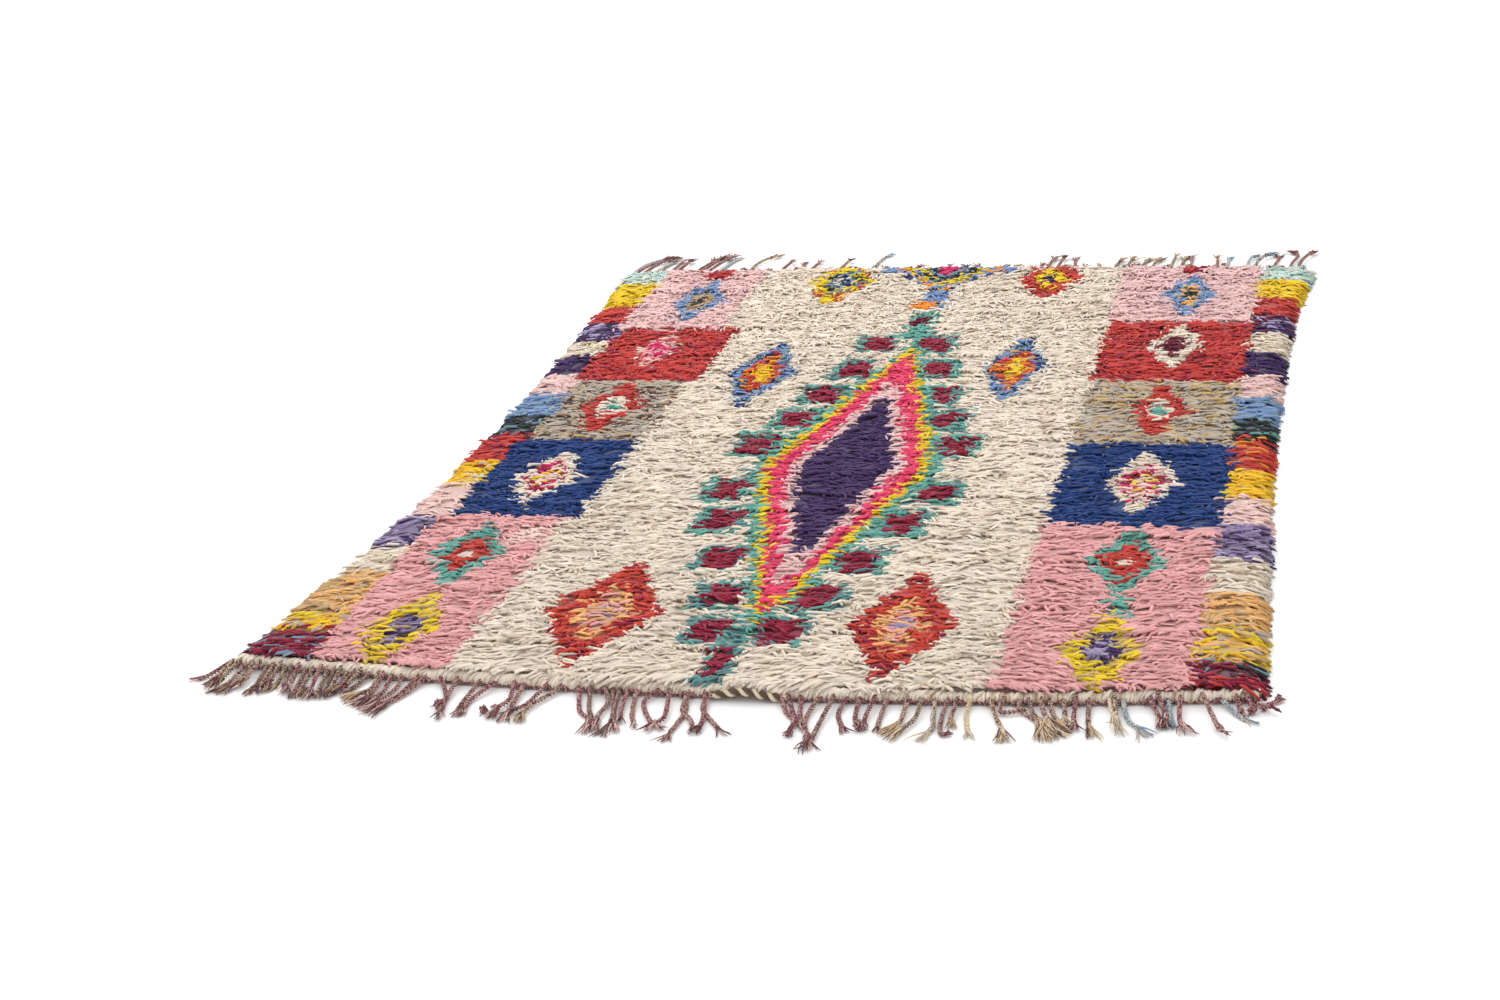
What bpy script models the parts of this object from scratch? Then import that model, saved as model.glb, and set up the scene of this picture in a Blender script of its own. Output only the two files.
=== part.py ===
"""Boucherouite rug lying flat: knotted pile, a wrapped cream end band and the warp fringe of both ends.

Metres, +Z up. X runs across the rug and +Y along it, from the front end to the back end.
The origin is the middle of the underside, which rests on the floor.
"""

import math
import random

import bmesh
import bpy
from mathutils import Vector, noise

# Driving sizes of the cloth, from corner to corner
WIDTH = 1.150
LENGTH = 1.540
GAP = 0.0003

# Half widths along the rug, as shares of WIDTH: both sides draw in about the middle
SIDE_STATIONS = [
    {"along": 0.00, "left": 0.498, "right": 0.500},
    {"along": 0.08, "left": 0.487, "right": 0.496},
    {"along": 0.20, "left": 0.470, "right": 0.490},
    {"along": 0.40, "left": 0.456, "right": 0.480},
    {"along": 0.55, "left": 0.455, "right": 0.477},
    {"along": 0.70, "left": 0.462, "right": 0.477},
    {"along": 0.85, "left": 0.470, "right": 0.482},
    {"along": 1.00, "left": 0.484, "right": 0.498},
]

# How far each end bows out past its corners, and how much more of it lies towards +X
END_BOWS = {
    "front": {"bow": 0.036, "skew": 0.4},
    "back": {"bow": 0.020, "skew": 0.0},
}

# The front end lifts off the floor in one short arch
ARCH_X = 0.035
ARCH_HALF_WIDTH = 0.042
ARCH_HEIGHT = 0.006
ARCH_BARE_SHARE = 0.75

# Pile: cells of the lumpy top, its heights, and the locks round its rim
PILE_CELLS_ACROSS = 34
PILE_CELLS_ALONG = 56
PILE_HEIGHT = 0.0205
PILE_LUMP = 0.0048
PILE_LUMP_SPACING = 0.050
PILE_ROW_RIDGE = 0.0014
PILE_SWELL = 0.0018
PILE_SWELL_SPACING = 0.30
PILE_RIM_HEIGHT = 0.0185
PILE_RIM_CELLS = 1.5
PILE_RIM_RELIEF = 0.35
PILE_LEDGE_HEIGHT = 0.0130
RIPPLE_HEIGHT = 0.0035
RIPPLE_X = -0.20
RIPPLE_HALF_WIDTH = 0.15
RIPPLE_Y = -0.03
RIPPLE_HALF_LENGTH = 0.082
RIPPLE_SPACING = 0.055
SIDE_LOCK = {"reach": 0.016, "spread": 0.005, "turn": 0.006, "drop": 0.0075, "tip": 0.42}
FRONT_LOCK = {"reach": 0.008, "spread": 0.002, "turn": 0.004, "drop": -0.0005, "tip": 0.45}
BACK_LOCK = {"reach": 0.012, "spread": 0.004, "turn": 0.005, "drop": 0.0000, "tip": 0.42}

# Front end band: a wrapped roll with uneven swellings
BAND_RADIUS = 0.0060
BAND_WAIST = 0.82
BAND_SWELLING_SHORTEST = 0.018
BAND_SWELLING_LONGEST = 0.030
BAND_SIDES = 8

# Fringe: twisted warp ends, fused at their roots into the twined strip
STRIP_DEPTH = 0.005
STRIP_HEIGHT = 0.005
STRAND_WIDTH = 0.0056
STRAND_HEIGHT = 0.0045
STRAND_TOP = 0.55
STRAND_TIP = 0.45
STRAND_NECK = 0.007
STRAND_STEPS = 3
STRAND_LENGTH_SPREAD = 0.10
STRAND_TURN_SPREAD = 1.5

# Seeds of what is uneven
PILE_SEED = 7
BAND_SEED = 11
FRINGE_SEED = 78

FRONT_STRANDS = 66
# Turn at the root and at the tip in degrees from straight out, positive towards +X, and the length
FRONT_FRINGE = [
    {"across": -0.50, "root": -16, "tip": -38, "length": 0.068},
    {"across": -0.42, "root": -18, "tip": -30, "length": 0.072},
    {"across": -0.35, "root": -12, "tip": -22, "length": 0.072},
    {"across": -0.28, "root": -12, "tip": -14, "length": 0.082},
    {"across": -0.22, "root": -4, "tip": 4, "length": 0.086},
    {"across": -0.15, "root": 0, "tip": 8, "length": 0.084},
    {"across": -0.08, "root": 12, "tip": 14, "length": 0.092},
    {"across": 0.00, "root": 12, "tip": 22, "length": 0.088},
    {"across": 0.08, "root": 18, "tip": 6, "length": 0.088},
    {"across": 0.14, "root": 6, "tip": 2, "length": 0.084},
    {"across": 0.20, "root": -2, "tip": 4, "length": 0.080},
    {"across": 0.28, "root": 10, "tip": 16, "length": 0.080},
    {"across": 0.36, "root": 8, "tip": 12, "length": 0.074},
    {"across": 0.44, "root": 16, "tip": 26, "length": 0.064},
    {"across": 0.50, "root": 30, "tip": 46, "length": 0.058},
]

BACK_STRANDS = 50
BACK_FRINGE = [
    {"across": -0.50, "root": -8, "tip": 10, "length": 0.084},
    {"across": -0.44, "root": -4, "tip": 4, "length": 0.076},
    {"across": -0.37, "root": 4, "tip": 10, "length": 0.082},
    {"across": -0.29, "root": 6, "tip": 14, "length": 0.080},
    {"across": -0.22, "root": 2, "tip": 4, "length": 0.070},
    {"across": -0.12, "root": 4, "tip": 8, "length": 0.078},
    {"across": 0.00, "root": 0, "tip": -4, "length": 0.056},
    {"across": 0.12, "root": 2, "tip": 6, "length": 0.074},
    {"across": 0.24, "root": -4, "tip": 2, "length": 0.080},
    {"across": 0.36, "root": 2, "tip": 6, "length": 0.064},
    {"across": 0.44, "root": 4, "tip": 10, "length": 0.076},
    {"across": 0.50, "root": 8, "tip": 16, "length": 0.086},
]


def between(rows, key, value, column):
    """A column of a table at a value of its key column, eased from each row to the next."""
    value = min(max(value, rows[0][key]), rows[-1][key])
    for low, high in zip(rows, rows[1:]):
        if value <= high[key]:
            break
    share = (value - low[key]) / (high[key] - low[key])
    eased = share * share * (3 - 2 * share)
    return low[column] + eased * (high[column] - low[column])


def end_y(x, end):
    """Y of the cloth's front or back edge at x."""
    across = x / WIDTH
    bow = END_BOWS[end]["bow"] * (1 - 4 * across * across) * (1 + END_BOWS[end]["skew"] * across)
    return -LENGTH / 2 - bow if end == "front" else LENGTH / 2 + bow


def arch_lift(x):
    """Height of the front edge's underside over the floor."""
    offset = (x - ARCH_X) / ARCH_HALF_WIDTH
    return ARCH_HEIGHT * (1 + math.cos(math.pi * offset)) / 2 if abs(offset) < 1 else 0.0


def bump(offset):
    """One at the middle, falling smoothly to nothing at an offset of one."""
    return (1 - offset * offset) ** 2 if abs(offset) < 1 else 0.0


def finish(bm, name, collection, material):
    """Makes a named object of a mesh under construction."""
    bmesh.ops.recalc_face_normals(bm, faces=bm.faces)
    mesh = bpy.data.meshes.new(name)
    bm.to_mesh(mesh)
    bm.free()
    mesh.materials.append(material)
    piece = bpy.data.objects.new(name, mesh)
    collection.objects.link(piece)
    return piece


def yarn(name, colour, roughness):
    """A matte yarn material."""
    material = bpy.data.materials.new(name)
    material.use_nodes = True
    surface = material.node_tree.nodes["Principled BSDF"]
    surface.inputs["Base Color"].default_value = (*colour, 1.0)
    surface.inputs["Roughness"].default_value = roughness
    surface.inputs["Metallic"].default_value = 0.0
    material.diffuse_color = (*colour, 1.0)
    return material


def pile_place(across, along):
    """Plan position of a share across and along the pile, which starts behind the front band."""
    left = -WIDTH * between(SIDE_STATIONS, "along", along, "left")
    right = WIDTH * between(SIDE_STATIONS, "along", along, "right")
    x = left + across * (right - left)
    front = end_y(x, "front") + 2 * BAND_RADIUS + GAP
    back = end_y(x, "back")
    return x, front + along * (back - front)


def pile_height(x, y, row, rim_cells):
    """Height of the pile's top: lumps and knot rows on slow swells, three ripples, and a lower rim."""
    lump = noise.noise(Vector((x, y, 0)) / PILE_LUMP_SPACING)
    swell = noise.noise(Vector((x, y, 1)) / PILE_SWELL_SPACING)
    ripple = math.cos(2 * math.pi * (y - RIPPLE_Y) / RIPPLE_SPACING)
    ripple *= bump((x - RIPPLE_X) / RIPPLE_HALF_WIDTH) * bump((y - RIPPLE_Y) / RIPPLE_HALF_LENGTH)
    inner = min(rim_cells / PILE_RIM_CELLS, 1.0)
    crown = PILE_RIM_HEIGHT + inner * (PILE_HEIGHT - PILE_RIM_HEIGHT)
    ridge = PILE_ROW_RIDGE if row % 2 else -PILE_ROW_RIDGE
    relief = 2 * PILE_LUMP * lump + 2 * PILE_SWELL * swell + ridge
    share = PILE_RIM_RELIEF + inner * (1 - PILE_RIM_RELIEF)
    return crown + share * relief + RIPPLE_HEIGHT * ripple


def grow_lock(bm, face, outward, sizes, dice):
    """Draws one face of the rim out into a tapering lock of pile."""
    side = Vector((-outward.y, outward.x, 0))
    reach = sizes["reach"] + dice.uniform(-1, 1) * sizes["spread"]
    shift = outward * reach + side * dice.uniform(-1, 1) * sizes["turn"] - Vector((0, 0, sizes["drop"]))
    tip = bmesh.ops.extrude_discrete_faces(bm, faces=[face])["faces"][0]
    middle = tip.calc_center_median()
    for vert in tip.verts:
        vert.co = middle + (vert.co - middle) * sizes["tip"] + shift


def build_pile(collection, material):
    """The knotted pile: a flat underside, a lumpy top, and locks that stand out round the rim."""
    bm = bmesh.new()
    bmesh.ops.create_grid(bm, x_segments=PILE_CELLS_ACROSS, y_segments=PILE_CELLS_ALONG, size=0.5)
    for vert in bm.verts:
        across = vert.co.x + 0.5
        along = vert.co.y + 0.5
        cells_across = min(across, 1 - across) * PILE_CELLS_ACROSS
        cells_along = min(along, 1 - along) * PILE_CELLS_ALONG
        x, y = pile_place(across, along)
        row = round(along * PILE_CELLS_ALONG)
        vert.co = Vector((x, y, pile_height(x, y, row, min(cells_across, cells_along))))

    rim = [edge for edge in bm.edges if edge.is_boundary]
    upper = bmesh.ops.extrude_edge_only(bm, edges=rim)["geom"]
    for vert in (item for item in upper if isinstance(item, bmesh.types.BMVert)):
        vert.co.z = PILE_LEDGE_HEIGHT
    walls = [item for item in upper if isinstance(item, bmesh.types.BMFace)]
    ledge = [edge for edge in bm.edges if edge.is_boundary]
    lower = bmesh.ops.extrude_edge_only(bm, edges=ledge)["geom"]
    for vert in (item for item in lower if isinstance(item, bmesh.types.BMVert)):
        vert.co.z = 0.0
    bmesh.ops.holes_fill(bm, edges=[edge for edge in bm.edges if edge.is_boundary])
    bmesh.ops.recalc_face_normals(bm, faces=bm.faces)

    dice = random.Random(PILE_SEED)
    walls.sort(key=lambda face: (round(face.calc_center_median().x, 3), face.calc_center_median().y))
    outwards = [(face, face.normal.copy()) for face in walls]
    backs = 0
    for face, outward in outwards:
        centre = face.calc_center_median()
        outward.z = 0
        outward.normalize()
        if abs(outward.x) > abs(outward.y):
            grow_lock(bm, face, outward, SIDE_LOCK, dice)
        elif outward.y > 0:
            backs += 1
            if backs % 2:
                grow_lock(bm, face, outward, BACK_LOCK, dice)
        elif abs(centre.x - ARCH_X) > ARCH_HALF_WIDTH:
            grow_lock(bm, face, outward, FRONT_LOCK, dice)
    return finish(bm, "pile_field", collection, material)


def build_band(collection, material):
    """The front end band: one roll along the edge, with a swelling between each pair of binding turns."""
    dice = random.Random(BAND_SEED)
    left = -WIDTH * SIDE_STATIONS[0]["left"] + BAND_RADIUS
    right = WIDTH * SIDE_STATIONS[0]["right"] - BAND_RADIUS
    places = [(left, BAND_WAIST)]
    while places[-1][0] < right - BAND_SWELLING_LONGEST:
        start = places[-1][0]
        swelling = dice.uniform(BAND_SWELLING_SHORTEST, BAND_SWELLING_LONGEST)
        places.append((start + swelling / 2, 1.0))
        places.append((start + swelling, BAND_WAIST))
    places.append(((places[-1][0] + right) / 2, 1.0))
    places.append((right, BAND_WAIST))

    curve = bpy.data.curves.new("front_band", "CURVE")
    curve.dimensions = "3D"
    curve.bevel_depth = BAND_RADIUS
    curve.bevel_resolution = BAND_SIDES // 2 - 2
    curve.use_fill_caps = True
    curve.materials.append(material)
    spline = curve.splines.new("POLY")
    spline.points.add(len(places) - 1)
    for point, (x, share) in zip(spline.points, places):
        point.co = (x, end_y(x, "front") + BAND_RADIUS, BAND_RADIUS + arch_lift(x), 1)
        point.radius = share
    piece = bpy.data.objects.new("front_band", curve)
    collection.objects.link(piece)
    return piece


def grow_strand(bm, face, end, row, root_x, dice):
    """Draws one face of the strip out into a warp end that lies on the floor."""
    forward = -1 if end == "front" else 1
    jitter = dice.uniform(-1, 1) * STRAND_TURN_SPREAD
    length = row["length"] * (1 + dice.uniform(-1, 1) * STRAND_LENGTH_SPREAD)
    centre = face.calc_center_median()
    place = Vector((root_x, centre.y, 0))
    side = Vector((1, 0, 0))
    for step in range(STRAND_STEPS + 1):
        share = step / STRAND_STEPS
        turn = math.radians(row["root"] + share * (row["tip"] - row["root"]) + jitter)
        heading = Vector((math.sin(turn), forward * math.cos(turn), 0))
        place += heading * (STRAND_NECK if step == 0 else (length - STRAND_NECK) / STRAND_STEPS)
        next_side = Vector((math.cos(turn), -forward * math.sin(turn), 0))
        face = bmesh.ops.extrude_discrete_faces(bm, faces=[face])["faces"][0]
        middle = face.calc_center_median()
        taper = 1 - (1 - STRAND_TIP) * share ** 3
        for vert in face.verts:
            over = vert.co.z > middle.z
            hand = 1 if (vert.co - middle).dot(side) > 0 else -1
            half = STRAND_WIDTH / 2 * taper * (STRAND_TOP if over else 1)
            vert.co = place + next_side * hand * half
            vert.co.z = STRAND_HEIGHT * taper if over else 0.0
        side = next_side


def build_fringe(name, end, count, table, collection, material):
    """The twined strip of one end and the warp ends that leave it, one from each cell of the strip."""
    edge_row = SIDE_STATIONS[0] if end == "front" else SIDE_STATIONS[-1]
    left = -WIDTH * edge_row["left"]
    cell = WIDTH * (edge_row["left"] + edge_row["right"]) / count
    forward = -1 if end == "front" else 1

    bm = bmesh.new()
    bmesh.ops.create_cube(bm, size=1)
    for vert in bm.verts:
        vert.co.x = left + (vert.co.x + 0.5) * cell * count
        vert.co.y = forward * (GAP + (vert.co.y * forward + 0.5) * STRIP_DEPTH)
        vert.co.z = (vert.co.z + 0.5) * STRIP_HEIGHT
    for index in range(1, count):
        everything = bm.verts[:] + bm.edges[:] + bm.faces[:]
        seam = Vector((left + index * cell, 0, 0))
        bmesh.ops.bisect_plane(bm, geom=everything, plane_co=seam, plane_no=(1, 0, 0))
    for vert in bm.verts:
        vert.co.y += end_y(vert.co.x, end)
        if end == "front":
            vert.co.z += arch_lift(vert.co.x)

    dice = random.Random(FRINGE_SEED)
    bm.normal_update()
    roots = [face for face in bm.faces if face.normal.y * forward > 0.7]
    roots.sort(key=lambda face: face.calc_center_median().x)
    for face in roots:
        x = face.calc_center_median().x
        if end == "front" and abs(x - ARCH_X) < ARCH_HALF_WIDTH * ARCH_BARE_SHARE:
            continue
        columns = ("root", "tip", "length")
        row = {column: between(table, "across", x / WIDTH, column) for column in columns}
        grow_strand(bm, face, end, row, x, dice)
    return finish(bm, name, collection, material)


def main():
    for leftover in list(bpy.data.objects):
        bpy.data.objects.remove(leftover, do_unlink=True)
    collection = bpy.data.collections.new("boucherouite_rug")
    bpy.context.scene.collection.children.link(collection)

    pile_yarn = yarn("pile_yarn", (0.72, 0.55, 0.50), 0.95)
    band_yarn = yarn("band_yarn", (0.62, 0.56, 0.46), 0.92)
    fringe_yarn = yarn("fringe_yarn", (0.28, 0.13, 0.12), 0.90)

    build_pile(collection, pile_yarn)
    build_band(collection, band_yarn)
    build_fringe("front_fringe", "front", FRONT_STRANDS, FRONT_FRINGE, collection, fringe_yarn)
    build_fringe("back_fringe", "back", BACK_STRANDS, BACK_FRINGE, collection, fringe_yarn)


main()
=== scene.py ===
"""Looks of a boucherouite rug: the ground, the knotted pile with its design, the end band and the fringe."""

import math
import random
from collections import namedtuple

import bmesh
import bpy
from mathutils import Matrix, Vector, noise


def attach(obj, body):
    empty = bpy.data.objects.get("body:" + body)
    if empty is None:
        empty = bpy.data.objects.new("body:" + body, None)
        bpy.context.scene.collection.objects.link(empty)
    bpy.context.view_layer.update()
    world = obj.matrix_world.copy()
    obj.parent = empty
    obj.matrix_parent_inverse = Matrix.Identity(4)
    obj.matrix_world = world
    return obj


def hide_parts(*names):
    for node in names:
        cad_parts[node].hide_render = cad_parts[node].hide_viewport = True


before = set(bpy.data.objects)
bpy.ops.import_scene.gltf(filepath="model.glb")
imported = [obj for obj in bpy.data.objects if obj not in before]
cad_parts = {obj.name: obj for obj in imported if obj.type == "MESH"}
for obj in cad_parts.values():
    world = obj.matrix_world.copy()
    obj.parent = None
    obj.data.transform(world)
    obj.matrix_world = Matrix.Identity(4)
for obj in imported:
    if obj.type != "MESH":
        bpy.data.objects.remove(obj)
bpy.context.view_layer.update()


# The cloth's outline
# The rug is woven to a width on the loom, draws in along its sides, and bows out a little at both ends. All
# that is knotted, wrapped or tied on it follows this outline.

CLOTH_WIDTH = 1.150
CLOTH_LENGTH = 1.540
BAND_THICKNESS = 0.012
FRONT_BOW = 0.036
FRONT_BOW_SKEW = 0.4
BACK_BOW = 0.020
ARCH_X = 0.035
ARCH_HALF_WIDTH = 0.042
ARCH_HEIGHT = 0.006

SIDE_DRAW = [
    {"along": 0.00, "left": 0.498, "right": 0.500},
    {"along": 0.08, "left": 0.487, "right": 0.496},
    {"along": 0.20, "left": 0.470, "right": 0.490},
    {"along": 0.40, "left": 0.456, "right": 0.480},
    {"along": 0.55, "left": 0.455, "right": 0.477},
    {"along": 0.70, "left": 0.462, "right": 0.477},
    {"along": 0.85, "left": 0.470, "right": 0.482},
    {"along": 1.00, "left": 0.484, "right": 0.498},
]


def within(value, low, high):
    """A value held within limits."""
    return max(low, min(high, value))


def between(rows, key, value, column):
    """A column of a table at a value of its key column, eased from each row to the next."""
    value = within(value, rows[0][key], rows[-1][key])
    for low, high in zip(rows, rows[1:]):
        if value <= high[key]:
            break
    share = (value - low[key]) / (high[key] - low[key])
    eased = share * share * (3 - 2 * share)
    return low[column] + eased * (high[column] - low[column])


def front_edge(x):
    """Y of the cloth's front edge, under the band."""
    across = x / CLOTH_WIDTH
    return -CLOTH_LENGTH / 2 - FRONT_BOW * (1 - 4 * across * across) * (1 + FRONT_BOW_SKEW * across)


def back_edge(x):
    """Y of the cloth's back edge."""
    across = x / CLOTH_WIDTH
    return CLOTH_LENGTH / 2 + BACK_BOW * (1 - 4 * across * across)


def arch_lift(x):
    """How far the front edge stands off the floor."""
    offset = (x - ARCH_X) / ARCH_HALF_WIDTH
    return ARCH_HEIGHT * (1 + math.cos(math.pi * offset)) / 2 if abs(offset) < 1 else 0.0


def cloth_place(across, along):
    """Plan place on the knotted cloth, from shares of its width and length."""
    left = -CLOTH_WIDTH * between(SIDE_DRAW, "along", along, "left")
    right = CLOTH_WIDTH * between(SIDE_DRAW, "along", along, "right")
    x = left + across * (right - left)
    front = front_edge(x) + BAND_THICKNESS
    return x, front + along * (back_edge(x) - front)


# The yarns
# Rag and wool yarn in plain dyed colours. The same dye lots serve the ground, the pile and the fringe.

YARNS = {
    "cream": "#ecdecd",
    "beige": "#d6c4a9",
    "fleck": "#a88d6e",
    "pink": "#e7abaa",
    "rose": "#e9c2c0",
    "blush": "#f2d0c6",
    "red": "#c43d36",
    "scarlet": "#cb4434",
    "crimson": "#941c3b",
    "wine": "#6f1730",
    "blue": "#173977",
    "sky": "#7c99c3",
    "stone": "#b9ada0",
    "ochre": "#c9a96c",
    "purple": "#42295c",
    "lilac": "#a99bbd",
    "mauve": "#8a789c",
    "teal": "#69aa9d",
    "petrol": "#628e90",
    "yellow": "#ebcb25",
    "gold": "#f2bd26",
    "apricot": "#edb673",
    "orange": "#ee942a",
    "fuchsia": "#e8436f",
    "magenta": "#d6246a",
    "black": "#2e3234",
    "mint": "#c5ded5",
    "burgundy": "#6e2a3b",
    "dusty": "#cba59d",
    "brown": "#6a473d",
    "umber": "#544033",
    "tan": "#bfa27c",
    "slate": "#7f97a8",
}


# The curve that hex digits follow: straight up to its knee, a power above it
CURVE_KNEE = 0.04045
CURVE_SLOPE = 12.92
CURVE_OFFSET = 0.055
CURVE_POWER = 2.4


def straightened(share):
    """The light that a hex number's share of the brightest stands for."""
    if share <= CURVE_KNEE:
        return share / CURVE_SLOPE
    return ((share + CURVE_OFFSET) / (1 + CURVE_OFFSET)) ** CURVE_POWER


def linear(colour):
    """A yarn's colour as the renderer wants it, from its six hex digits."""
    digits = YARNS[colour].lstrip("#")
    return [straightened(int(digits[i : i + 2], 16) / 255) for i in (0, 2, 4)]


# The design
# A long stepped medallion with comb teeth, lozenges, and colour blocks down both sides. Its places are shares
# of the width: across from the middle line, along from the front corners, as the pile's tips show them over
# the floor, which draws them in a little.

TIP_SHRINK = 0.986
TIP_SHIFT_X = 0.0085
TIP_SHIFT_Y = -0.0285

EDGE_BLOCKS = {
    "left": [
        (0.095, "crimson crimson crimson wine slate"),
        (0.140, "yellow gold gold apricot stone"),
        (0.240, "apricot apricot apricot tan"),
        (0.315, "cream cream beige"),
        (0.405, "mauve mauve lilac purple"),
        (0.505, "blush blush rose"),
        (0.575, "yellow gold gold gold cream"),
        (0.680, "red red red crimson"),
        (0.745, "black black black black slate"),
        (0.830, "sky sky sky slate"),
        (0.915, "rose rose blush"),
        (0.985, "purple purple purple"),
        (1.050, "cream cream beige"),
        (1.130, "purple lilac purple"),
        (1.210, "red red red"),
        (1.320, "yellow yellow gold"),
        (1.600, "mint mint mint cream"),
    ],
    "right": [
        (0.050, "crimson crimson wine red"),
        (0.080, "wine black crimson slate"),
        (0.165, "yellow gold ochre apricot stone"),
        (0.240, "apricot apricot apricot tan"),
        (0.325, "cream cream cream beige"),
        (0.420, "mauve mauve lilac purple"),
        (0.500, "blush blush rose"),
        (0.585, "gold gold gold yellow"),
        (0.680, "red red red orange"),
        (0.745, "black black black black teal"),
        (0.830, "sky sky sky slate"),
        (0.910, "rose rose blush"),
        (1.000, "purple purple purple"),
        (1.080, "cream cream beige"),
        (1.160, "purple purple lilac wine"),
        (1.235, "red red red"),
        (1.320, "yellow yellow gold"),
        (1.600, "mint mint mint cream"),
    ],
}

Block = namedtuple("Block", "until inner outer yarns")
SIDE_BLOCKS = {
    "left": [
        Block(0.410, 0.285, 0.435, "pink"),
        Block(0.660, 0.272, 0.425, "blue"),
        Block(0.885, 0.272, 0.418, "stone stone stone stone tan brown"),
        Block(1.100, 0.258, 0.425, "red red red red crimson"),
        Block(1.600, 0.285, 0.435, "rose"),
    ],
    "right": [
        Block(0.412, 0.250, 0.435, "pink"),
        Block(0.660, 0.250, 0.435, "blue"),
        Block(0.888, 0.248, 0.430, "stone stone stone stone ochre tan"),
        Block(1.128, 0.245, 0.430, "red red red red crimson"),
        Block(1.600, 0.240, 0.430, "rose"),
    ],
}

# Lozenges, with rings from the rim inwards: each fills what is left down to its share of the lozenge
Lozenge = namedtuple("Lozenge", "x y wide long rings")
LOZENGES = [
    Lozenge(-0.365, 0.105, 0.042, 0.100, [
        (0.48, "yellow yellow ochre"), (0, "purple mauve mauve lilac tan")
    ]),
    Lozenge(-0.365, 0.300, 0.042, 0.095, [(0.64, "teal"), (0.26, "red"), (0, "cream")]),
    Lozenge(-0.350, 0.533, 0.040, 0.100, [
        (0.66, "cream"), (0.28, "crimson magenta blush"), (0, "yellow blush")
    ]),
    Lozenge(-0.345, 0.780, 0.042, 0.100, [(0.55, "red"), (0.22, "cream"), (0, "teal")]),
    Lozenge(-0.350, 1.010, 0.036, 0.085, [(0.62, "red pink cream"), (0, "magenta magenta pink")]),
    Lozenge(-0.350, 1.235, 0.036, 0.108, [(0.55, "sky"), (0.25, "tan"), (0, "black")]),
    Lozenge(-0.352, 1.378, 0.026, 0.050, [(0, "red crimson")]),
    Lozenge(0.345, 0.096, 0.040, 0.092, [
        (0.50, "yellow yellow ochre"), (0.20, "purple purple mauve lilac"), (0, "lilac")
    ]),
    Lozenge(0.348, 0.314, 0.041, 0.090, [(0.64, "teal"), (0.26, "red"), (0, "cream")]),
    Lozenge(0.343, 0.540, 0.042, 0.103, [
        (0.68, "cream"), (0.30, "crimson magenta blush"), (0, "yellow blush")
    ]),
    Lozenge(0.340, 0.780, 0.034, 0.098, [(0.50, "red"), (0.28, "cream"), (0, "teal")]),
    Lozenge(0.338, 1.025, 0.038, 0.095, [(0.55, "cream"), (0, "wine")]),
    Lozenge(0.340, 1.250, 0.036, 0.098, [(0.55, "sky"), (0.30, "apricot"), (0, "black")]),
    Lozenge(0.338, 1.378, 0.020, 0.045, [(0, "red crimson")]),
    Lozenge(0.362, 1.405, 0.014, 0.025, [(0, "crimson")]),
    Lozenge(-0.165, 0.155, 0.062, 0.135, [
        (0.58, "scarlet scarlet scarlet scarlet crimson"), (0.36, "apricot apricot red"),
        (0.12, "pink pink apricot"), (0, "lilac")
    ]),
    Lozenge(0.145, 0.142, 0.055, 0.130, [
        (0.58, "scarlet scarlet scarlet scarlet crimson"), (0.36, "apricot apricot red"),
        (0.14, "pink pink apricot"), (0, "lilac")
    ]),
    Lozenge(-0.180, 0.912, 0.044, 0.138, [
        (0.68, "sky slate blue sky"), (0.32, "red red orange"), (0, "yellow gold")
    ]),
    Lozenge(0.145, 0.935, 0.040, 0.138, [
        (0.68, "sky slate blue sky"), (0.36, "red orange"), (0.10, "yellow"), (0, "sky")
    ]),
    Lozenge(-0.160, 1.325, 0.048, 0.120, [
        (0.74, "yellow red yellow"), (0.34, "yellow yellow slate black"), (0, "slate blue cream")
    ]),
    Lozenge(0.140, 1.335, 0.044, 0.112, [(0.55, "red"), (0.24, "yellow"), (0, "purple")]),
]

# The medallion, from the rim inwards: places of its bottom and top points, and its half width at the waist
WAIST = 0.575
Ring = namedtuple("Ring", "yarn bottom top wide")
MEDALLION = [
    Ring("teal", 0.105, 1.065, 0.116),
    Ring("yellow", 0.125, 1.035, 0.100),
    Ring("fuchsia", 0.150, 1.000, 0.088),
    Ring("rose", 0.215, 0.905, 0.068),
    Ring("purple", 0.290, 0.830, 0.056),
]

TOOTH_HALF_WIDTH = 0.019
TOOTH_HALF_LENGTH = 0.027
TOOTH_RIM = 0.011
TOOTH_INNER_RIM = 0.4 * TOOTH_RIM
PETROL_BELOW = 0.36
TEETH = [
    {"y": 1.035, "left": -0.050, "right": 0.025},
    {"y": 0.930, "left": -0.060, "right": 0.045},
    {"y": 0.828, "left": -0.080, "right": 0.065},
    {"y": 0.738, "left": -0.095, "right": 0.090},
    {"y": 0.645, "left": -0.122, "right": 0.115},
    {"y": 0.500, "left": -0.122, "right": 0.120},
    {"y": 0.405, "left": -0.105, "right": 0.095},
    {"y": 0.300, "left": -0.078, "right": 0.070},
    {"y": 0.203, "left": -0.053, "right": 0.045},
    {"y": 0.118, "left": -0.040, "right": 0.026},
]

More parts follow.
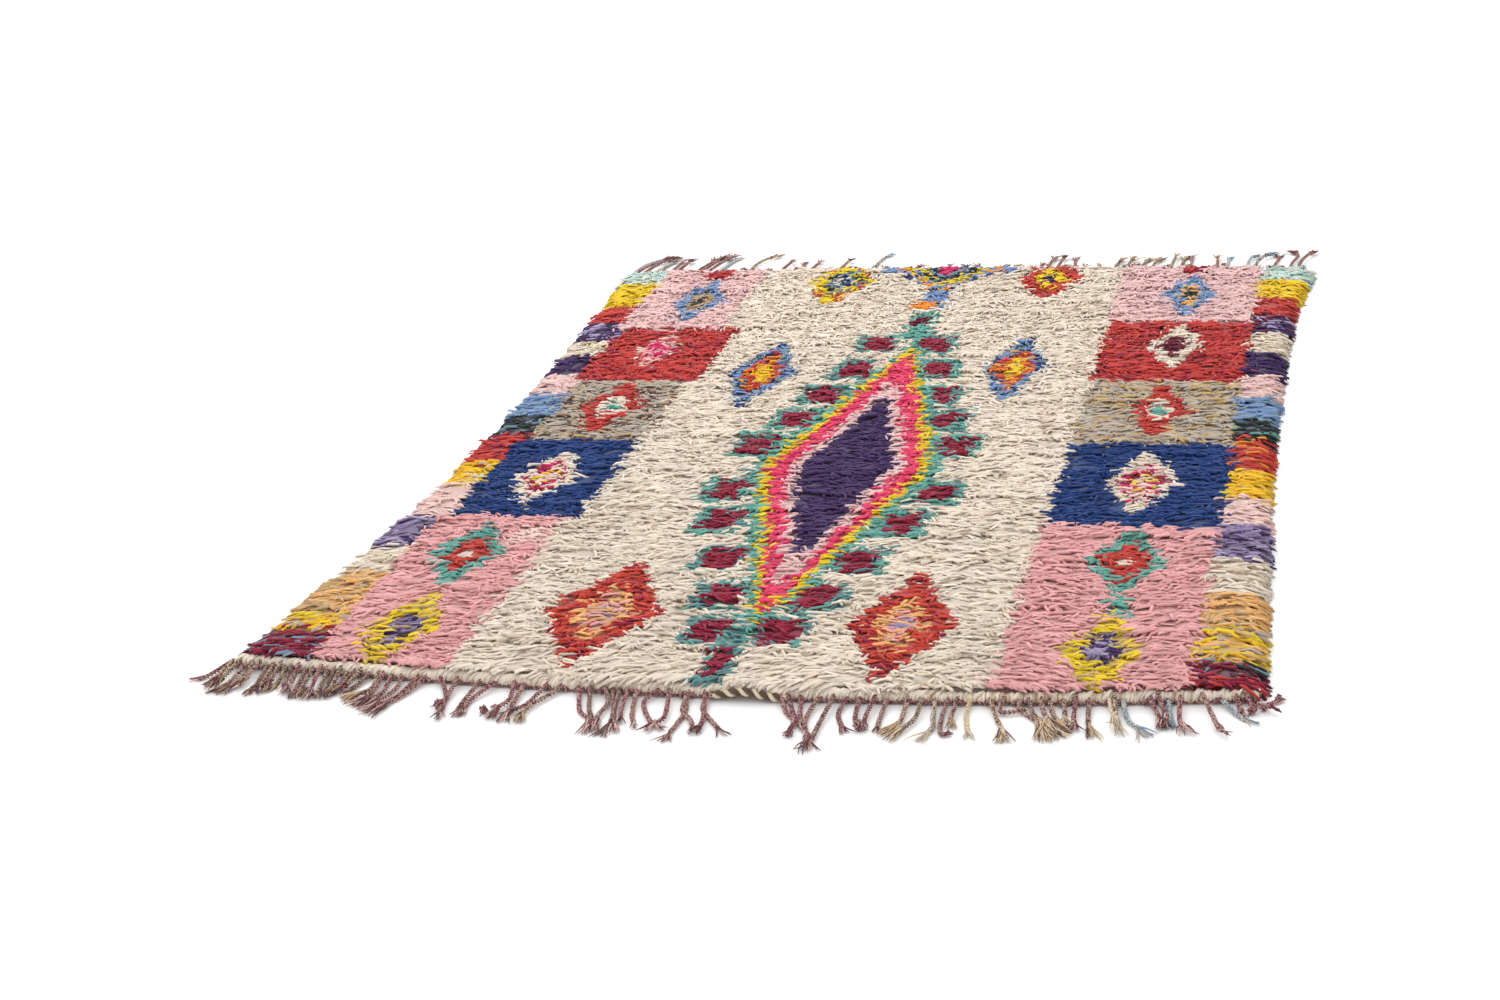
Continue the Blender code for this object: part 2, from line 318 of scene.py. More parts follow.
# Small bars: middle, half width and half length
Bar = namedtuple("Bar", "x y wide long yarns")
BARS = [
    Bar(-0.015, 0.060, 0.015, 0.065, "petrol petrol teal"),
    Bar(-0.017, 0.045, 0.010, 0.030, "crimson"),
    Bar(-0.008, 1.110, 0.017, 0.065, "teal"),
    Bar(-0.012, 1.135, 0.010, 0.022, "wine"),
    Bar(-0.012, 1.180, 0.010, 0.012, "cream"),
    Bar(-0.010, 1.235, 0.017, 0.045, "sky"),
    Bar(-0.020, 1.212, 0.014, 0.020, "orange"),
    Bar(0.352, 0.203, 0.010, 0.022, "teal"),
    Bar(-0.310, 0.355, 0.018, 0.022, "blush"),
]

# The star at the back end: its yarns in rings, with arms to both sides
STAR = {"x": -0.012, "y": 1.385, "wide": 0.078, "long": 0.125}
STAR_RINGS = [
    (0.30, "magenta"),
    (0.56, "black black slate"),
    (0.76, "yellow yellow sky"),
    (0.90, "sky sky yellow orange"),
    (1.00, "orange sky blue"),
]
STAR_ARMS = [(0.050, "yellow"), (0.075, "orange"), (0.098, "sky")]
STAR_ARM_Y = 1.388
STAR_ARM_HALF_LENGTH = 0.024


def edge_yarns(hand, along):
    """The yarns of the small blocks down one edge."""
    for until, yarns in EDGE_BLOCKS[hand]:
        if along < until:
            break
    return yarns


def lozenge_yarn(lozenge, across, along):
    """The yarn of one lozenge at a place, or None outside it."""
    reach = abs(across - lozenge.x) / lozenge.wide + abs(along - lozenge.y) / lozenge.long
    if reach > 1:
        return None
    for share, yarn in lozenge.rings:
        if reach >= share:
            return yarn
    return None


def medallion_yarn(across, along):
    """The yarn of the medallion at a place, or None outside it."""
    found = None
    for ring in MEDALLION:
        end = ring.bottom if along < WAIST else ring.top
        wide = ring.wide * (along - end) / (WAIST - end)
        if ring.bottom < along < ring.top and abs(across) < wide:
            found = ring.yarn
    return found


def tooth_yarn(across, along):
    """The yarn of the comb teeth at a place: crimson with a teal rim, or None."""
    found = None
    for tooth in TEETH:
        for hand, outward in (("left", -1), ("right", 1)):
            aside = (across - tooth[hand]) * outward
            ahead = abs(along - tooth["y"])
            if abs(aside) < TOOTH_HALF_WIDTH and ahead < TOOTH_HALF_LENGTH:
                return "crimson"
            rim = TOOTH_RIM if aside > 0 else TOOTH_INNER_RIM
            if abs(aside) < TOOTH_HALF_WIDTH + rim and ahead < TOOTH_HALF_LENGTH + TOOTH_RIM:
                found = "teal teal petrol" if along > PETROL_BELOW else "petrol petrol teal"
    return found


def star_yarn(across, along):
    """The yarn of the star at a place, or None."""
    aside = abs(across - STAR["x"])
    reach = aside / STAR["wide"] + abs(along - STAR["y"]) / STAR["long"]
    for share, yarn in STAR_RINGS:
        if reach < share:
            return yarn
    if abs(along - STAR_ARM_Y) < STAR_ARM_HALF_LENGTH:
        for until, yarn in STAR_ARMS:
            if aside < until:
                return yarn
    return None


def bar_yarn(across, along):
    """The yarn of a small bar at a place, or None."""
    found = None
    for bar in BARS:
        if abs(across - bar.x) < bar.wide and abs(along - bar.y) < bar.long:
            found = bar.yarns
    return found


def yarns_at(x, y):
    """The yarns that show at a plan place of the rug's top, as one line of their names."""
    across = (x / CLOTH_WIDTH - TIP_SHIFT_X) / TIP_SHRINK
    along = ((y + CLOTH_LENGTH / 2) / CLOTH_WIDTH - TIP_SHIFT_Y) / TIP_SHRINK
    hand = "left" if across < 0 else "right"
    for block in SIDE_BLOCKS[hand]:
        if along < block.until:
            break
    if abs(across) > block.outer:
        return edge_yarns(hand, along)
    for lozenge in LOZENGES:
        found = lozenge_yarn(lozenge, across, along)
        if found:
            return found
    found = bar_yarn(across, along) or star_yarn(across, along) or medallion_yarn(across, along)
    if found:
        return found
    found = tooth_yarn(across, along)
    if found:
        return found
    return block.yarns if abs(across) > block.inner else "cream"


# Node graphs
# One small class writes the node trees of the materials and of the repeated pieces: sums and products of
# sockets are written as plain arithmetic, and any other node is added by its type.


class Socket:
    """An output of a node, on which arithmetic adds Math nodes."""

    def __init__(self, graph, out):
        self.graph = graph
        self.out = out

    def math(self, operation, first, second):
        return self.graph.add("ShaderNodeMath", {"operation": operation}, {0: first, 1: second})

    def __add__(self, other):
        return self.math("ADD", self, other)

    def __radd__(self, other):
        return self.math("ADD", other, self)

    def __mul__(self, other):
        return self.math("MULTIPLY", self, other)

    def __rmul__(self, other):
        return self.math("MULTIPLY", other, self)

    def __truediv__(self, other):
        return self.math("DIVIDE", self, other)


class Graph:
    """A node tree under construction."""

    def __init__(self, tree):
        self.tree = tree
        tree.nodes.clear()

    def find(self, sockets, key):
        if isinstance(key, int):
            return sockets[key]
        usable = [socket for socket in sockets if socket.enabled]
        return next(socket for socket in usable if key in (socket.identifier, socket.name))

    def add(self, kind, settings=None, values=None, out=0):
        """Adds a node: its settings first, then the values or links of its sockets. Returns one output."""
        node = self.tree.nodes.new(kind)
        for name, value in (settings or {}).items():
            setattr(node, name, value)
        for key, value in (values or {}).items():
            socket = self.find(node.inputs, key)
            if isinstance(value, Socket):
                self.tree.links.new(value.out, socket)
            else:
                socket.default_value = value
        return Socket(self, self.find(node.outputs, out)) if node.outputs else node

    def mixed(self, share, first, second, blend="MIX"):
        """Two colours mixed by a share."""
        values = {"Factor_Float": share, "A_Color": first, "B_Color": second}
        return self.add("ShaderNodeMix", {"data_type": "RGBA", "blend_type": blend}, values, "Result_Color")

    def named(self, name, out="Fac"):
        """A piece's own named value or colour."""
        return self.add("ShaderNodeAttribute", {"attribute_name": name}, out=out)

    def grain(self, place, scale, detail):
        """Noise of one scale at a place."""
        values = {"Vector": place, "Scale": scale, "Detail": detail}
        return self.add("ShaderNodeTexNoise", values=values, out="Fac")


def shader_graph(name):
    """A new material and its graph."""
    material = bpy.data.materials.new(name)
    material.use_nodes = True
    return material, Graph(material.node_tree)


def shapes_graph(name, inputs):
    """A new geometry tree and its graph, with named inputs: (name, socket type)."""
    tree = bpy.data.node_groups.new(name, "GeometryNodeTree")
    tree.interface.new_socket(name="Geometry", in_out="INPUT", socket_type="NodeSocketGeometry")
    for label, kind in inputs:
        tree.interface.new_socket(name=label, in_out="INPUT", socket_type=kind)
    tree.interface.new_socket(name="Geometry", in_out="OUTPUT", socket_type="NodeSocketGeometry")
    graph = Graph(tree)
    entry = tree.nodes.new("NodeGroupInput")
    given = {socket.name: Socket(graph, socket) for socket in entry.outputs if socket.name}
    return graph, given


def close_graph(graph, shapes):
    """Links the finished shapes to a geometry tree's output."""
    leave = graph.tree.nodes.new("NodeGroupOutput")
    graph.tree.links.new(shapes.out, leave.inputs["Geometry"])


def grown(name, seed_object, graph, values):
    """The plain mesh that a geometry tree makes from an object, which is then removed."""
    modifier = seed_object.modifiers.new("shapes", "NODES")
    modifier.node_group = graph.tree
    for item in graph.tree.interface.items_tree:
        if item.in_out == "INPUT" and item.name in values:
            modifier[item.identifier] = values[item.name]
    bpy.context.view_layer.update()
    evaluated = seed_object.evaluated_get(bpy.context.evaluated_depsgraph_get())
    mesh = bpy.data.meshes.new_from_object(evaluated)
    mesh.name = name
    bpy.data.objects.remove(seed_object)
    return placed(name, mesh)


def placed(name, mesh):
    """An object of a mesh, at the origin."""
    piece = bpy.data.objects.new(name, mesh)
    bpy.context.scene.collection.objects.link(piece)
    return piece


def point_cloud(name, points, edges, attributes):
    """A mesh of loose points or lines with named values on its points, to feed a geometry tree."""
    mesh = bpy.data.meshes.new(name)
    mesh.from_pydata(points, edges, [])
    for label, (kind, field, values) in attributes.items():
        layer = mesh.attributes.new(label, kind, "POINT")
        flat = values if kind == "FLOAT" else [part for value in values for part in value]
        layer.data.foreach_set(field, flat)
    return placed(name, mesh)


# The yarn's finish
# Matt wool and rag: the dye's colour with a fibre streak, with painted shade that darkens it down in the pile
# where light doesn't reach, and a soft sheen on the tips.

FIBRE_SCALE = 900.0
CLUMP_SCALE = 55.0
DIRT_SCALE = 6.0
# What each unevenness leaves of the dye at least, and adds to that at most
SHADE_SHARES = (0.86, 0.20)
FIBRE_SHARES = (0.88, 0.22)
CLUMP_SHARES = (0.90, 0.18)
DIRT_SHARES = (0.95, 0.10)
# Painted shade is deepest up to this height down in the pile, and warm: what it leaves of the green and the
# blue there
PAINTED_SHADE_BELOW = 0.002
PAINTED_SHADE_GREEN = 0.93
PAINTED_SHADE_BLUE = 0.84
YARN_BUMP = {"Strength": 0.35, "Distance": 0.0006}
# Loose fibres scatter light, so the yarn is shaded in part as if it faced up
FLUFF = 0.25
WOOL_ROUGHNESS = 0.95
WOOL_GLOSS = 0.15
SHEEN_ROUGHNESS = 0.6


def close_wool(graph, colour, normal, sheen):
    """Ends a material's graph in matt wool with a soft sheen."""
    surface = {
        "Base Color": colour,
        "Roughness": WOOL_ROUGHNESS,
        "Normal": normal,
        "Specular IOR Level": WOOL_GLOSS,
        "Sheen Weight": sheen,
        "Sheen Roughness": SHEEN_ROUGHNESS,
    }
    shader = graph.add("ShaderNodeBsdfPrincipled", values=surface)
    graph.add("ShaderNodeOutputMaterial", values={"Surface": shader})


def yarn_finish(name, deep, tip_height, sheen):
    """A yarn material that reads each knot's dye from the piece, with painted shade darkening it towards the
    ground.
    """
    material, graph = shader_graph(name)
    dye, shade = graph.named("dye", "Color"), graph.named("shade")
    place = graph.add("ShaderNodeTexCoord", out="Object")
    fibre, clump = graph.grain(place, FIBRE_SCALE, 2.0), graph.grain(place, CLUMP_SCALE, 2.0)
    dirt = graph.grain(place, DIRT_SCALE, 1.0)
    height = graph.add("ShaderNodeSeparateXYZ", values={0: place}, out="Z")
    # Painted shade: the colour falls to the share deep at the foot of the pile and is whole from the tip
    # height up
    limits = {"Value": height, "From Min": PAINTED_SHADE_BELOW, "From Max": tip_height, "To Min": deep, "To Max": 1.0}
    painted_depth_shade = graph.add("ShaderNodeMapRange", values=limits)
    strength = painted_depth_shade
    uneven = [(shade, SHADE_SHARES), (fibre, FIBRE_SHARES), (clump, CLUMP_SHARES), (dirt, DIRT_SHARES)]
    for source, (least, added) in uneven:
        strength = strength * (least + added * source)
    green, blue = (strength * (left + (1 - left) * painted_depth_shade) for left in (PAINTED_SHADE_GREEN, PAINTED_SHADE_BLUE))
    light = graph.add("ShaderNodeCombineColor", values={0: strength, 1: green, 2: blue})
    colour = graph.mixed(1.0, dye, light, "MULTIPLY")
    bump = graph.add("ShaderNodeBump", values={**YARN_BUMP, "Height": fibre + 0.6 * clump})
    scatter = {"Factor_Float": FLUFF, "A_Vector": bump, "B_Vector": (0.0, 0.0, 1.0)}
    soft = graph.add("ShaderNodeMix", {"data_type": "VECTOR"}, scatter, "Result_Vector")
    soft = graph.add("ShaderNodeVectorMath", {"operation": "NORMALIZE"}, {0: soft})
    close_wool(graph, colour, soft, sheen)
    return material


# The pile's finish paints shade down to the foot of its strips
pile_finish = yarn_finish("pile_yarn_finish", deep=0.74, tip_height=0.019, sheen=0.14)


# The ground and the foot of the pile
# A plain woven cloth holds the knots, and their packed feet stand on it as one soft bed that shows between
# the strips, in the design's colours darkened by painted shade. Below, the loops of the knots show the
# design. One closed sheet follows the folds of the rug.

BED_THICKNESS = 0.0155
BED_LUMP = 0.0020
LUMP_SIZE = 0.012
BED_CELLS_ACROSS = 72
BED_CELLS_ALONG = 116
BED_INSET = 0.006
# Painted shade: the bed shows only in the gaps between the strips, so its dyes are darkened to this share
BED_PAINTED_SHADE = 0.72
# The bed thins towards its sides and its back end, and less towards the band
EDGE_FALL = 0.016
EDGE_LEFT = 0.25
FRONT_LEFT = 0.5
# The share of the arch's height that the ground behind it takes up
GROUND_ARCH = 0.8
RIPPLE_X = -0.20
RIPPLE_Y = -0.03
RIPPLE_HEIGHT = 0.0035
RIPPLE_SPACING = 0.055
RIPPLE_HALF_WIDTH = 0.15
RIPPLE_HALF_LENGTH = 0.082


def bump_shape(offset):
    """One at the middle, falling smoothly to nothing at an offset of one."""
    return (1 - offset * offset) ** 2 if abs(offset) < 1 else 0.0


def fading(distance, reach):
    """One at no distance, falling evenly to nothing at the reach."""
    return max(0.0, 1 - distance / reach)


def ground_lift(x, y):
    """How far the cloth's underside stands off the floor, in three soft ripples and the arch at the front."""
    wave = (1 + math.cos(2 * math.pi * (y - RIPPLE_Y) / RIPPLE_SPACING)) / 2
    reach = bump_shape((x - RIPPLE_X) / RIPPLE_HALF_WIDTH) * bump_shape((y - RIPPLE_Y) / RIPPLE_HALF_LENGTH)
    near_front = fading(y - front_edge(x) - BAND_THICKNESS, ARCH_HALF_WIDTH)
    return RIPPLE_HEIGHT * wave * reach + GROUND_ARCH * arch_lift(x) * near_front * near_front


def mean_dye_in_painted_shade(yarns):
    """The colour of several yarns side by side, darkened by painted shade."""
    dyes = [linear(yarn) for yarn in yarns.split()]
    return [BED_PAINTED_SHADE * sum(part) / len(dyes) for part in zip(*dyes)]


def mesh_of(name, bm):
    """The mesh of finished faces."""
    mesh = bpy.data.meshes.new(name)
    bm.to_mesh(mesh)
    bm.free()
    return mesh


def build_bed(finish):
    """The closed sheet: a lumpy top, a flat underside, and a dye darkened by painted shade for each of its
    cells.
    """
    bm = bmesh.new()
    layers = []
    for top in (False, True):
        grid = []
        for j in range(BED_CELLS_ALONG + 1):
            row = []
            for i in range(BED_CELLS_ACROSS + 1):
                across = BED_INSET + (1 - 2 * BED_INSET) * i / BED_CELLS_ACROSS
                x, y = cloth_place(across, j / BED_CELLS_ALONG)
                z = ground_lift(x, y)
                if top and min(i, BED_CELLS_ACROSS - i, BED_CELLS_ALONG - j) == 0:
                    z += EDGE_LEFT * BED_THICKNESS
                elif top and j == 0:
                    z += FRONT_LEFT * BED_THICKNESS
                elif top:
                    z += BED_THICKNESS + BED_LUMP * noise.noise(Vector((x, y, 7)) / LUMP_SIZE)
                row.append(bm.verts.new((x, y, z)))
            grid.append(row)
        layers.append(grid)
    lower, upper = layers
    for j in range(BED_CELLS_ALONG):
        for i in range(BED_CELLS_ACROSS):
            for grid, order in ((upper, 1), (lower, -1)):
                quad = (grid[j][i], grid[j][i + 1], grid[j + 1][i + 1], grid[j + 1][i])
                bm.faces.new(quad[::order])
    for j, order in ((0, 1), (BED_CELLS_ALONG, -1)):
        for i in range(BED_CELLS_ACROSS):
            quad = (lower[j][i], lower[j][i + 1], upper[j][i + 1], upper[j][i])
            bm.faces.new(quad[::order])
    for i, order in ((0, -1), (BED_CELLS_ACROSS, 1)):
        for j in range(BED_CELLS_ALONG):
            quad = (lower[j][i], lower[j + 1][i], upper[j + 1][i], upper[j][i])
            bm.faces.new(quad[::order])
    dyes = bm.faces.layers.float_color.new("dye")
    shades = bm.faces.layers.float.new("shade")
    dice = random.Random(3)
    for face in bm.faces:
        face.smooth = True
        middle = face.calc_center_median()
        face[dyes] = (*mean_dye_in_painted_shade(yarns_at(middle.x, middle.y)), 1.0)
        face[shades] = dice.random()
    mesh = mesh_of("pile_bed", bm)
    mesh.materials.append(finish)
    return placed("pile_bed", mesh)


# The bed's finish paints shade darker towards the floor too
bed_finish = yarn_finish("bed_finish", deep=0.75, tip_height=0.017, sheen=0.20)
bed = build_bed(bed_finish)
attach(bed, "root")
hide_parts("pile_field")


# The knotted pile
# Rows of knots, each a tuft of soft strips of yarn. They rise out of the ground, bend over towards the front
# end and lie on the next row like shingles, fanned out. A geometry tree sets a strip on every point.

PILE_ROWS = 84
TUFTS_IN_ROW = 60
STRIPS_IN_TUFT = 9
FIRST_ROW = 0.008
LAST_ROW = 0.004
STRIP_LENGTH = 0.034
STRIP_WIDTH = 0.0042
STRIP_THICKNESS = 0.0020
STRIP_KINDS = 16
# The strip's path from root to tip, in shares of its length: reach towards the front, rise, and its width
STRIP_PATH = [
    {"reach": 0.05, "rise": 0.05, "wide": 0.80},
    {"reach": 0.42, "rise": 0.18, "wide": 1.00},
    {"reach": 0.86, "rise": 0.19, "wide": 0.80},
]
STRIP_TIP = {"reach": 0.98, "rise": 0.17, "sway": 1.2}
STRIP_TILT = 0.10
# What differs between the kinds, up to these: the turn at the root, the twist and sway along, and the crease
STRIP_SPIN = 0.4
STRIP_TWIST = 0.7
STRIP_SWAY = 0.16
STRIP_CREASE = 0.3
# Waves along a strip: their height as a share of its length, the angle they run through, and where they start
WAVE_ASIDE = {"high": 0.035, "angle": 4.5, "start": 1.0}
WAVE_UP = {"high": 0.020, "angle": 5.5, "start": 1.7}


def add_tube(bm, rings):
    """Adds the faces between rings of corners."""
    sides = len(rings[0])
    for lower, upper in zip(rings, rings[1:]):
        for i in range(sides):
            bm.faces.new((lower[i], lower[(i + 1) % sides], upper[(i + 1) % sides], upper[i]))


def waved(wave, start, share):
    """How far a wave along a strip stands off at a share of its length."""
    return wave["high"] * math.sin(start * wave["start"] + wave["angle"] * share)


def build_strip(index):
    """One kind of soft strip with three long sides, rising from the origin and bending over to -Y."""
    dice = random.Random(100 + index)
    spin = dice.uniform(-STRIP_SPIN, STRIP_SPIN)
    twist = dice.uniform(-STRIP_TWIST, STRIP_TWIST)
    sway = dice.uniform(-STRIP_SWAY, STRIP_SWAY)
    start = dice.uniform(0, 2 * math.pi)
    bm = bmesh.new()
    rings = []
    for number, station in enumerate(STRIP_PATH):
        share = number / (len(STRIP_PATH) - 1)
        aside = sway * share * share + waved(WAVE_ASIDE, start, share)
        up = station["rise"] + waved(WAVE_UP, start, share) * share
        middle = Vector((aside, -station["reach"], up)) * STRIP_LENGTH
        turn = spin + twist * share
        side = Vector((math.cos(turn), 0, math.sin(turn))) * STRIP_WIDTH / 2 * station["wide"]
        out = Vector((-math.sin(turn), -STRIP_TILT, math.cos(turn))) * STRIP_THICKNESS
        crease = side * dice.uniform(-STRIP_CREASE, STRIP_CREASE)
        corners = (middle + side, middle + out + crease, middle - side)
        rings.append([bm.verts.new(corner) for corner in corners])
    tip = Vector((sway * STRIP_TIP["sway"], -STRIP_TIP["reach"], STRIP_TIP["rise"]))
    tip = bm.verts.new(tip * STRIP_LENGTH)
    add_tube(bm, rings)
    for i in range(3):
        bm.faces.new((rings[-1][i], rings[-1][(i + 1) % 3], tip))
    bm.faces.new(list(reversed(rings[0])))
    bmesh.ops.recalc_face_normals(bm, faces=bm.faces)
    return bpy.data.objects.new("strip_%02d" % index, mesh_of("strip", bm))


strips = bpy.data.collections.new("strips")
for index in range(STRIP_KINDS):
    strips.objects.link(build_strip(index))


# The lowest that the pile's strips reach
PILE_LOWEST = 0.0008


def on_floor(graph, shapes, lowest):
    """The shapes with whatever dips under a height lifted to it."""
    place = graph.add("GeometryNodeInputPosition")
    parts = graph.add("ShaderNodeSeparateXYZ", values={0: place}).out.node.outputs
    height = graph.add("ShaderNodeMath", {"operation": "MAXIMUM"}, {0: Socket(graph, parts["Z"]), 1: lowest})
    x, y = Socket(graph, parts["X"]), Socket(graph, parts["Y"])
    lifted = graph.add("ShaderNodeCombineXYZ", values={0: x, 1: y, 2: height})
    return graph.add("GeometryNodeSetPosition", values={"Geometry": shapes, "Position": lifted})


def pile_graph():
    """Points in, crumpled strips of yarn out. Each point carries its strip's heading, lean and size."""
    graph, given = shapes_graph("knotted_pile", [
        ("Strips", "NodeSocketCollection"),
        ("Kinds", "NodeSocketInt"),
        ("Roll", "NodeSocketFloat"),
        ("Crumple", "NodeSocketFloat"),
        ("Crumple scale", "NodeSocketFloat"),
        ("Seed", "NodeSocketInt"),
        ("Finish", "NodeSocketMaterial"),
    ])

    def dice(kind, low, high, seed):
        values = {"Min": low, "Max": high, "Seed": given["Seed"] + seed}
        return graph.add("FunctionNodeRandomValue", {"data_type": kind}, values, "Value")

    def named(kind, name):
        return graph.add("GeometryNodeInputNamedAttribute", {"data_type": kind}, {"Name": name})

    roll = given["Roll"] * dice("FLOAT", -1.0, 1.0, 1)
    angles = {0: named("FLOAT", "lean"), 1: roll, 2: named("FLOAT", "heading")}
    rotation = graph.add("ShaderNodeCombineXYZ", values=angles)
    choice = {0: given["Strips"], "Separate Children": True, "Reset Children": True}
    kinds = graph.add("GeometryNodeCollectionInfo", values=choice)
    instances = graph.add("GeometryNodeInstanceOnPoints", values={
        "Points": given["Geometry"],
        "Instance": kinds,
        "Pick Instance": True,
        "Instance Index": dice("INT", 0, given["Kinds"], 2),
        "Rotation": rotation,
        "Scale": named("FLOAT_VECTOR", "size"),
    })
    pile = graph.add("GeometryNodeRealizeInstances", values={"Geometry": instances})
    place = graph.add("GeometryNodeInputPosition")
    rough = {"Vector": place, "Scale": given["Crumple scale"], "Detail": 1.0}
    colour = graph.add("ShaderNodeTexNoise", values=rough, out="Color")
    centred = graph.add("ShaderNodeVectorMath", {"operation": "SUBTRACT"}, {0: colour, 1: (0.5, 0.5, 0.5)})
    push = {"Vector": centred, "Scale": given["Crumple"]}
    shift = graph.add("ShaderNodeVectorMath", {"operation": "SCALE"}, push)
    pile = graph.add("GeometryNodeSetPosition", values={"Geometry": pile, "Offset": shift})
    pile = on_floor(graph, pile, PILE_LOWEST)
    pile = graph.add("GeometryNodeSetShadeSmooth", values={"Geometry": pile, "Shade Smooth": True})
    pile = graph.add("GeometryNodeSetMaterial", values={"Geometry": pile, "Material": given["Finish"]})
    close_graph(graph, pile)
    return graph


PILE_SETTINGS = {
    "Strips": strips,
    "Kinds": STRIP_KINDS - 1,
    "Roll": 0.25,
    "Crumple": 0.0040,
    "Crumple scale": 72.0,
    "Finish": pile_finish,
}

# Parts of the pile, each its own piece, and where they meet in shares of the width from the middle line
PILE_PARTS = ["cream_front", "cream_back", "medallion", "lozenges"]
PILE_PARTS += ["blocks_left", "blocks_right", "edge_left", "edge_right"]
EDGES_FROM = 0.43
BLOCKS_FROM = {"left": 0.27, "right": 0.25}
LOZENGES_FROM = 0.135


def part_of(yarn, x, y):
    """Which part of the pile a strip belongs to."""
    across = abs(x) / CLOTH_WIDTH
    hand = "left" if x < 0 else "right"
    if across > EDGES_FROM:
        return "edge_" + hand
    if across > BLOCKS_FROM[hand]:
        return "blocks_" + hand
    if yarn == "cream":
        return "cream_front" if y < 0 else "cream_back"
    return "medallion" if across < LOZENGES_FROM else "lozenges"


# Beige hair in the cream: in how many strips, in patches of what size, and its share of their colour
HAIR_CHANCE = 0.34
HAIR_PATCH = 0.09
HAIR_SHARE = (0.15, 0.60)
DYE_STRENGTH = (0.92, 1.06)
DYE_TINT = (0.98, 1.02)


def dyed(yarn, x, y, dice):
    """The colour of one strip: its dye lot, unevenly taken up, with beige hair in the cream."""
    colour = linear(yarn)
    if yarn == "cream":
        hairy = 0.5 + noise.noise(Vector((x, y, 4)) / HAIR_PATCH)
        if dice.random() < HAIR_CHANCE * hairy:
            share = dice.uniform(*HAIR_SHARE)
            hair = linear(dice.choice(["beige", "fleck"]))
            colour = [a + share * (b - a) for a, b in zip(colour, hair)]
    strength = dice.uniform(*DYE_STRENGTH)
    return [min(1.0, part * strength * dice.uniform(*DYE_TINT)) for part in colour]


# The strips are fanned to one side, which changes from patch to patch, and a few to the other
COMB_PATCH = 0.10
COMB_STRETCH = 0.7
COMB_MIX = 1.6


def laid_side(x, y, combed):
    """The share of strips that lie to the left in a patch of the rug."""
    return 0.5 + COMB_MIX * combed * noise.noise(Vector((x, y * COMB_STRETCH, 2)) / COMB_PATCH)


# In the middle of the front end the pile flows down over the band
FLOW_FROM = -0.21
FLOW_TO = 0.22
FLOW_FADE = 0.05
FLOW_GAP = 1.4 * ARCH_HALF_WIDTH


def front_flow(x):
    """How much the pile flows over the band: one in the middle of the rug, nothing at the bare arch."""
    inside = min(x - FLOW_FROM, FLOW_TO - x)
    return within(inside / FLOW_FADE, 0.0, 1.0) * (1 - bump_shape((x - ARCH_X) / FLOW_GAP))


def from_side(across):
    """How far a place is inside the bed's nearer side."""
    return (min(across, 1 - across) - BED_INSET) * CLOTH_WIDTH


COMB_HEADING = 1.12
MOST_HEADING = 1.50
STRIP_SWING = 0.22
STRIP_REACH = (0.80, 1.15)
LEAST_REACH = 0.45
# Towards the back end the strips lie straighter and more mixed
FAR_END = 0.55
FAR_STRAIGHT = 0.35
FAR_MIXED = 0.5
# Along the front edge they lie straighter too, the more so over the band, and end a little past it
EDGE_SLOPE = 0.012
FRONT_STRAIGHT = 0.45
FRONT_TUFT = 0.009
FLOW_STRAIGHT = 0.25
FLOW_REACH = 0.007
FLOW_DROOP = 0.26
# Along the sides they hang outwards over the edge to the floor: all of them up to a place, fewer behind it
SIDE_ZONE = 0.020
SIDE_SURE = 0.4 * SIDE_ZONE
SIDE_FADE = 2 * SIDE_ZONE
SIDE_HEADING = 1.15
SIDE_TUFT = 0.010
SIDE_LEAST_REACH = 0.40
SIDE_DROOP = 0.85
SIDE_DROOP_FALL = 0.45


def lay_strip(x, y, across, front, swing, dice):
    """How a strip lies: its heading from straight ahead, its reach and the droop of its tip."""
    far = within(y / FAR_END, 0.0, 1.0)
    heading = COMB_HEADING * (1 - FAR_STRAIGHT * far) + swing + dice.gauss(0, STRIP_SWING * (1 + far))
    if dice.random() < laid_side(x, y, 1 - FAR_MIXED * far):
        heading = -heading
    reach = dice.uniform(*STRIP_REACH)
    at_front = fading(y - front, EDGE_SLOPE)
    flow = front_flow(x)
    heading = within(heading, -MOST_HEADING, MOST_HEADING)
    heading *= 1 - (FRONT_STRAIGHT + FLOW_STRAIGHT * flow) * at_front
    droop = FLOW_DROOP * flow * fading(y - front, STRIP_LENGTH)
    room = y - front + FRONT_TUFT + FLOW_REACH * flow
    reach = within(reach, LEAST_REACH, room / (STRIP_LENGTH * math.cos(heading)))
    outward = 1 if across > 0.5 else -1
    inside = from_side(across)
    if dice.random() < 1 - (inside - SIDE_SURE) / SIDE_FADE:
        heading = outward * (SIDE_HEADING + dice.gauss(0, STRIP_SWING))
        droop = max(droop, SIDE_DROOP - SIDE_DROOP_FALL * inside / SIDE_ZONE)
    if heading * outward > 0 and inside < STRIP_LENGTH:
        ahead = STRIP_LENGTH * abs(math.sin(heading)) * math.cos(droop)
        reach = within(reach, SIDE_LEAST_REACH, (inside + SIDE_TUFT) / ahead)
    return heading, reach, droop


def edge_share(x, y, across):
    """The bed's height at a place, as a share: lower towards the sides and the back end."""
    inside = min(from_side(across), back_edge(x) - y)
    return EDGE_LEFT + (1 - EDGE_LEFT) * within(inside / EDGE_FALL, 0.0, 1.0)


# Rows stand out in turns, so that a shadow line shows under every few of them
ROW_HEIGHTS = [1.28, 0.92, 0.97, 0.98, 1.24, 0.90, 0.95, 1.20, 0.92, 0.97, 0.98]


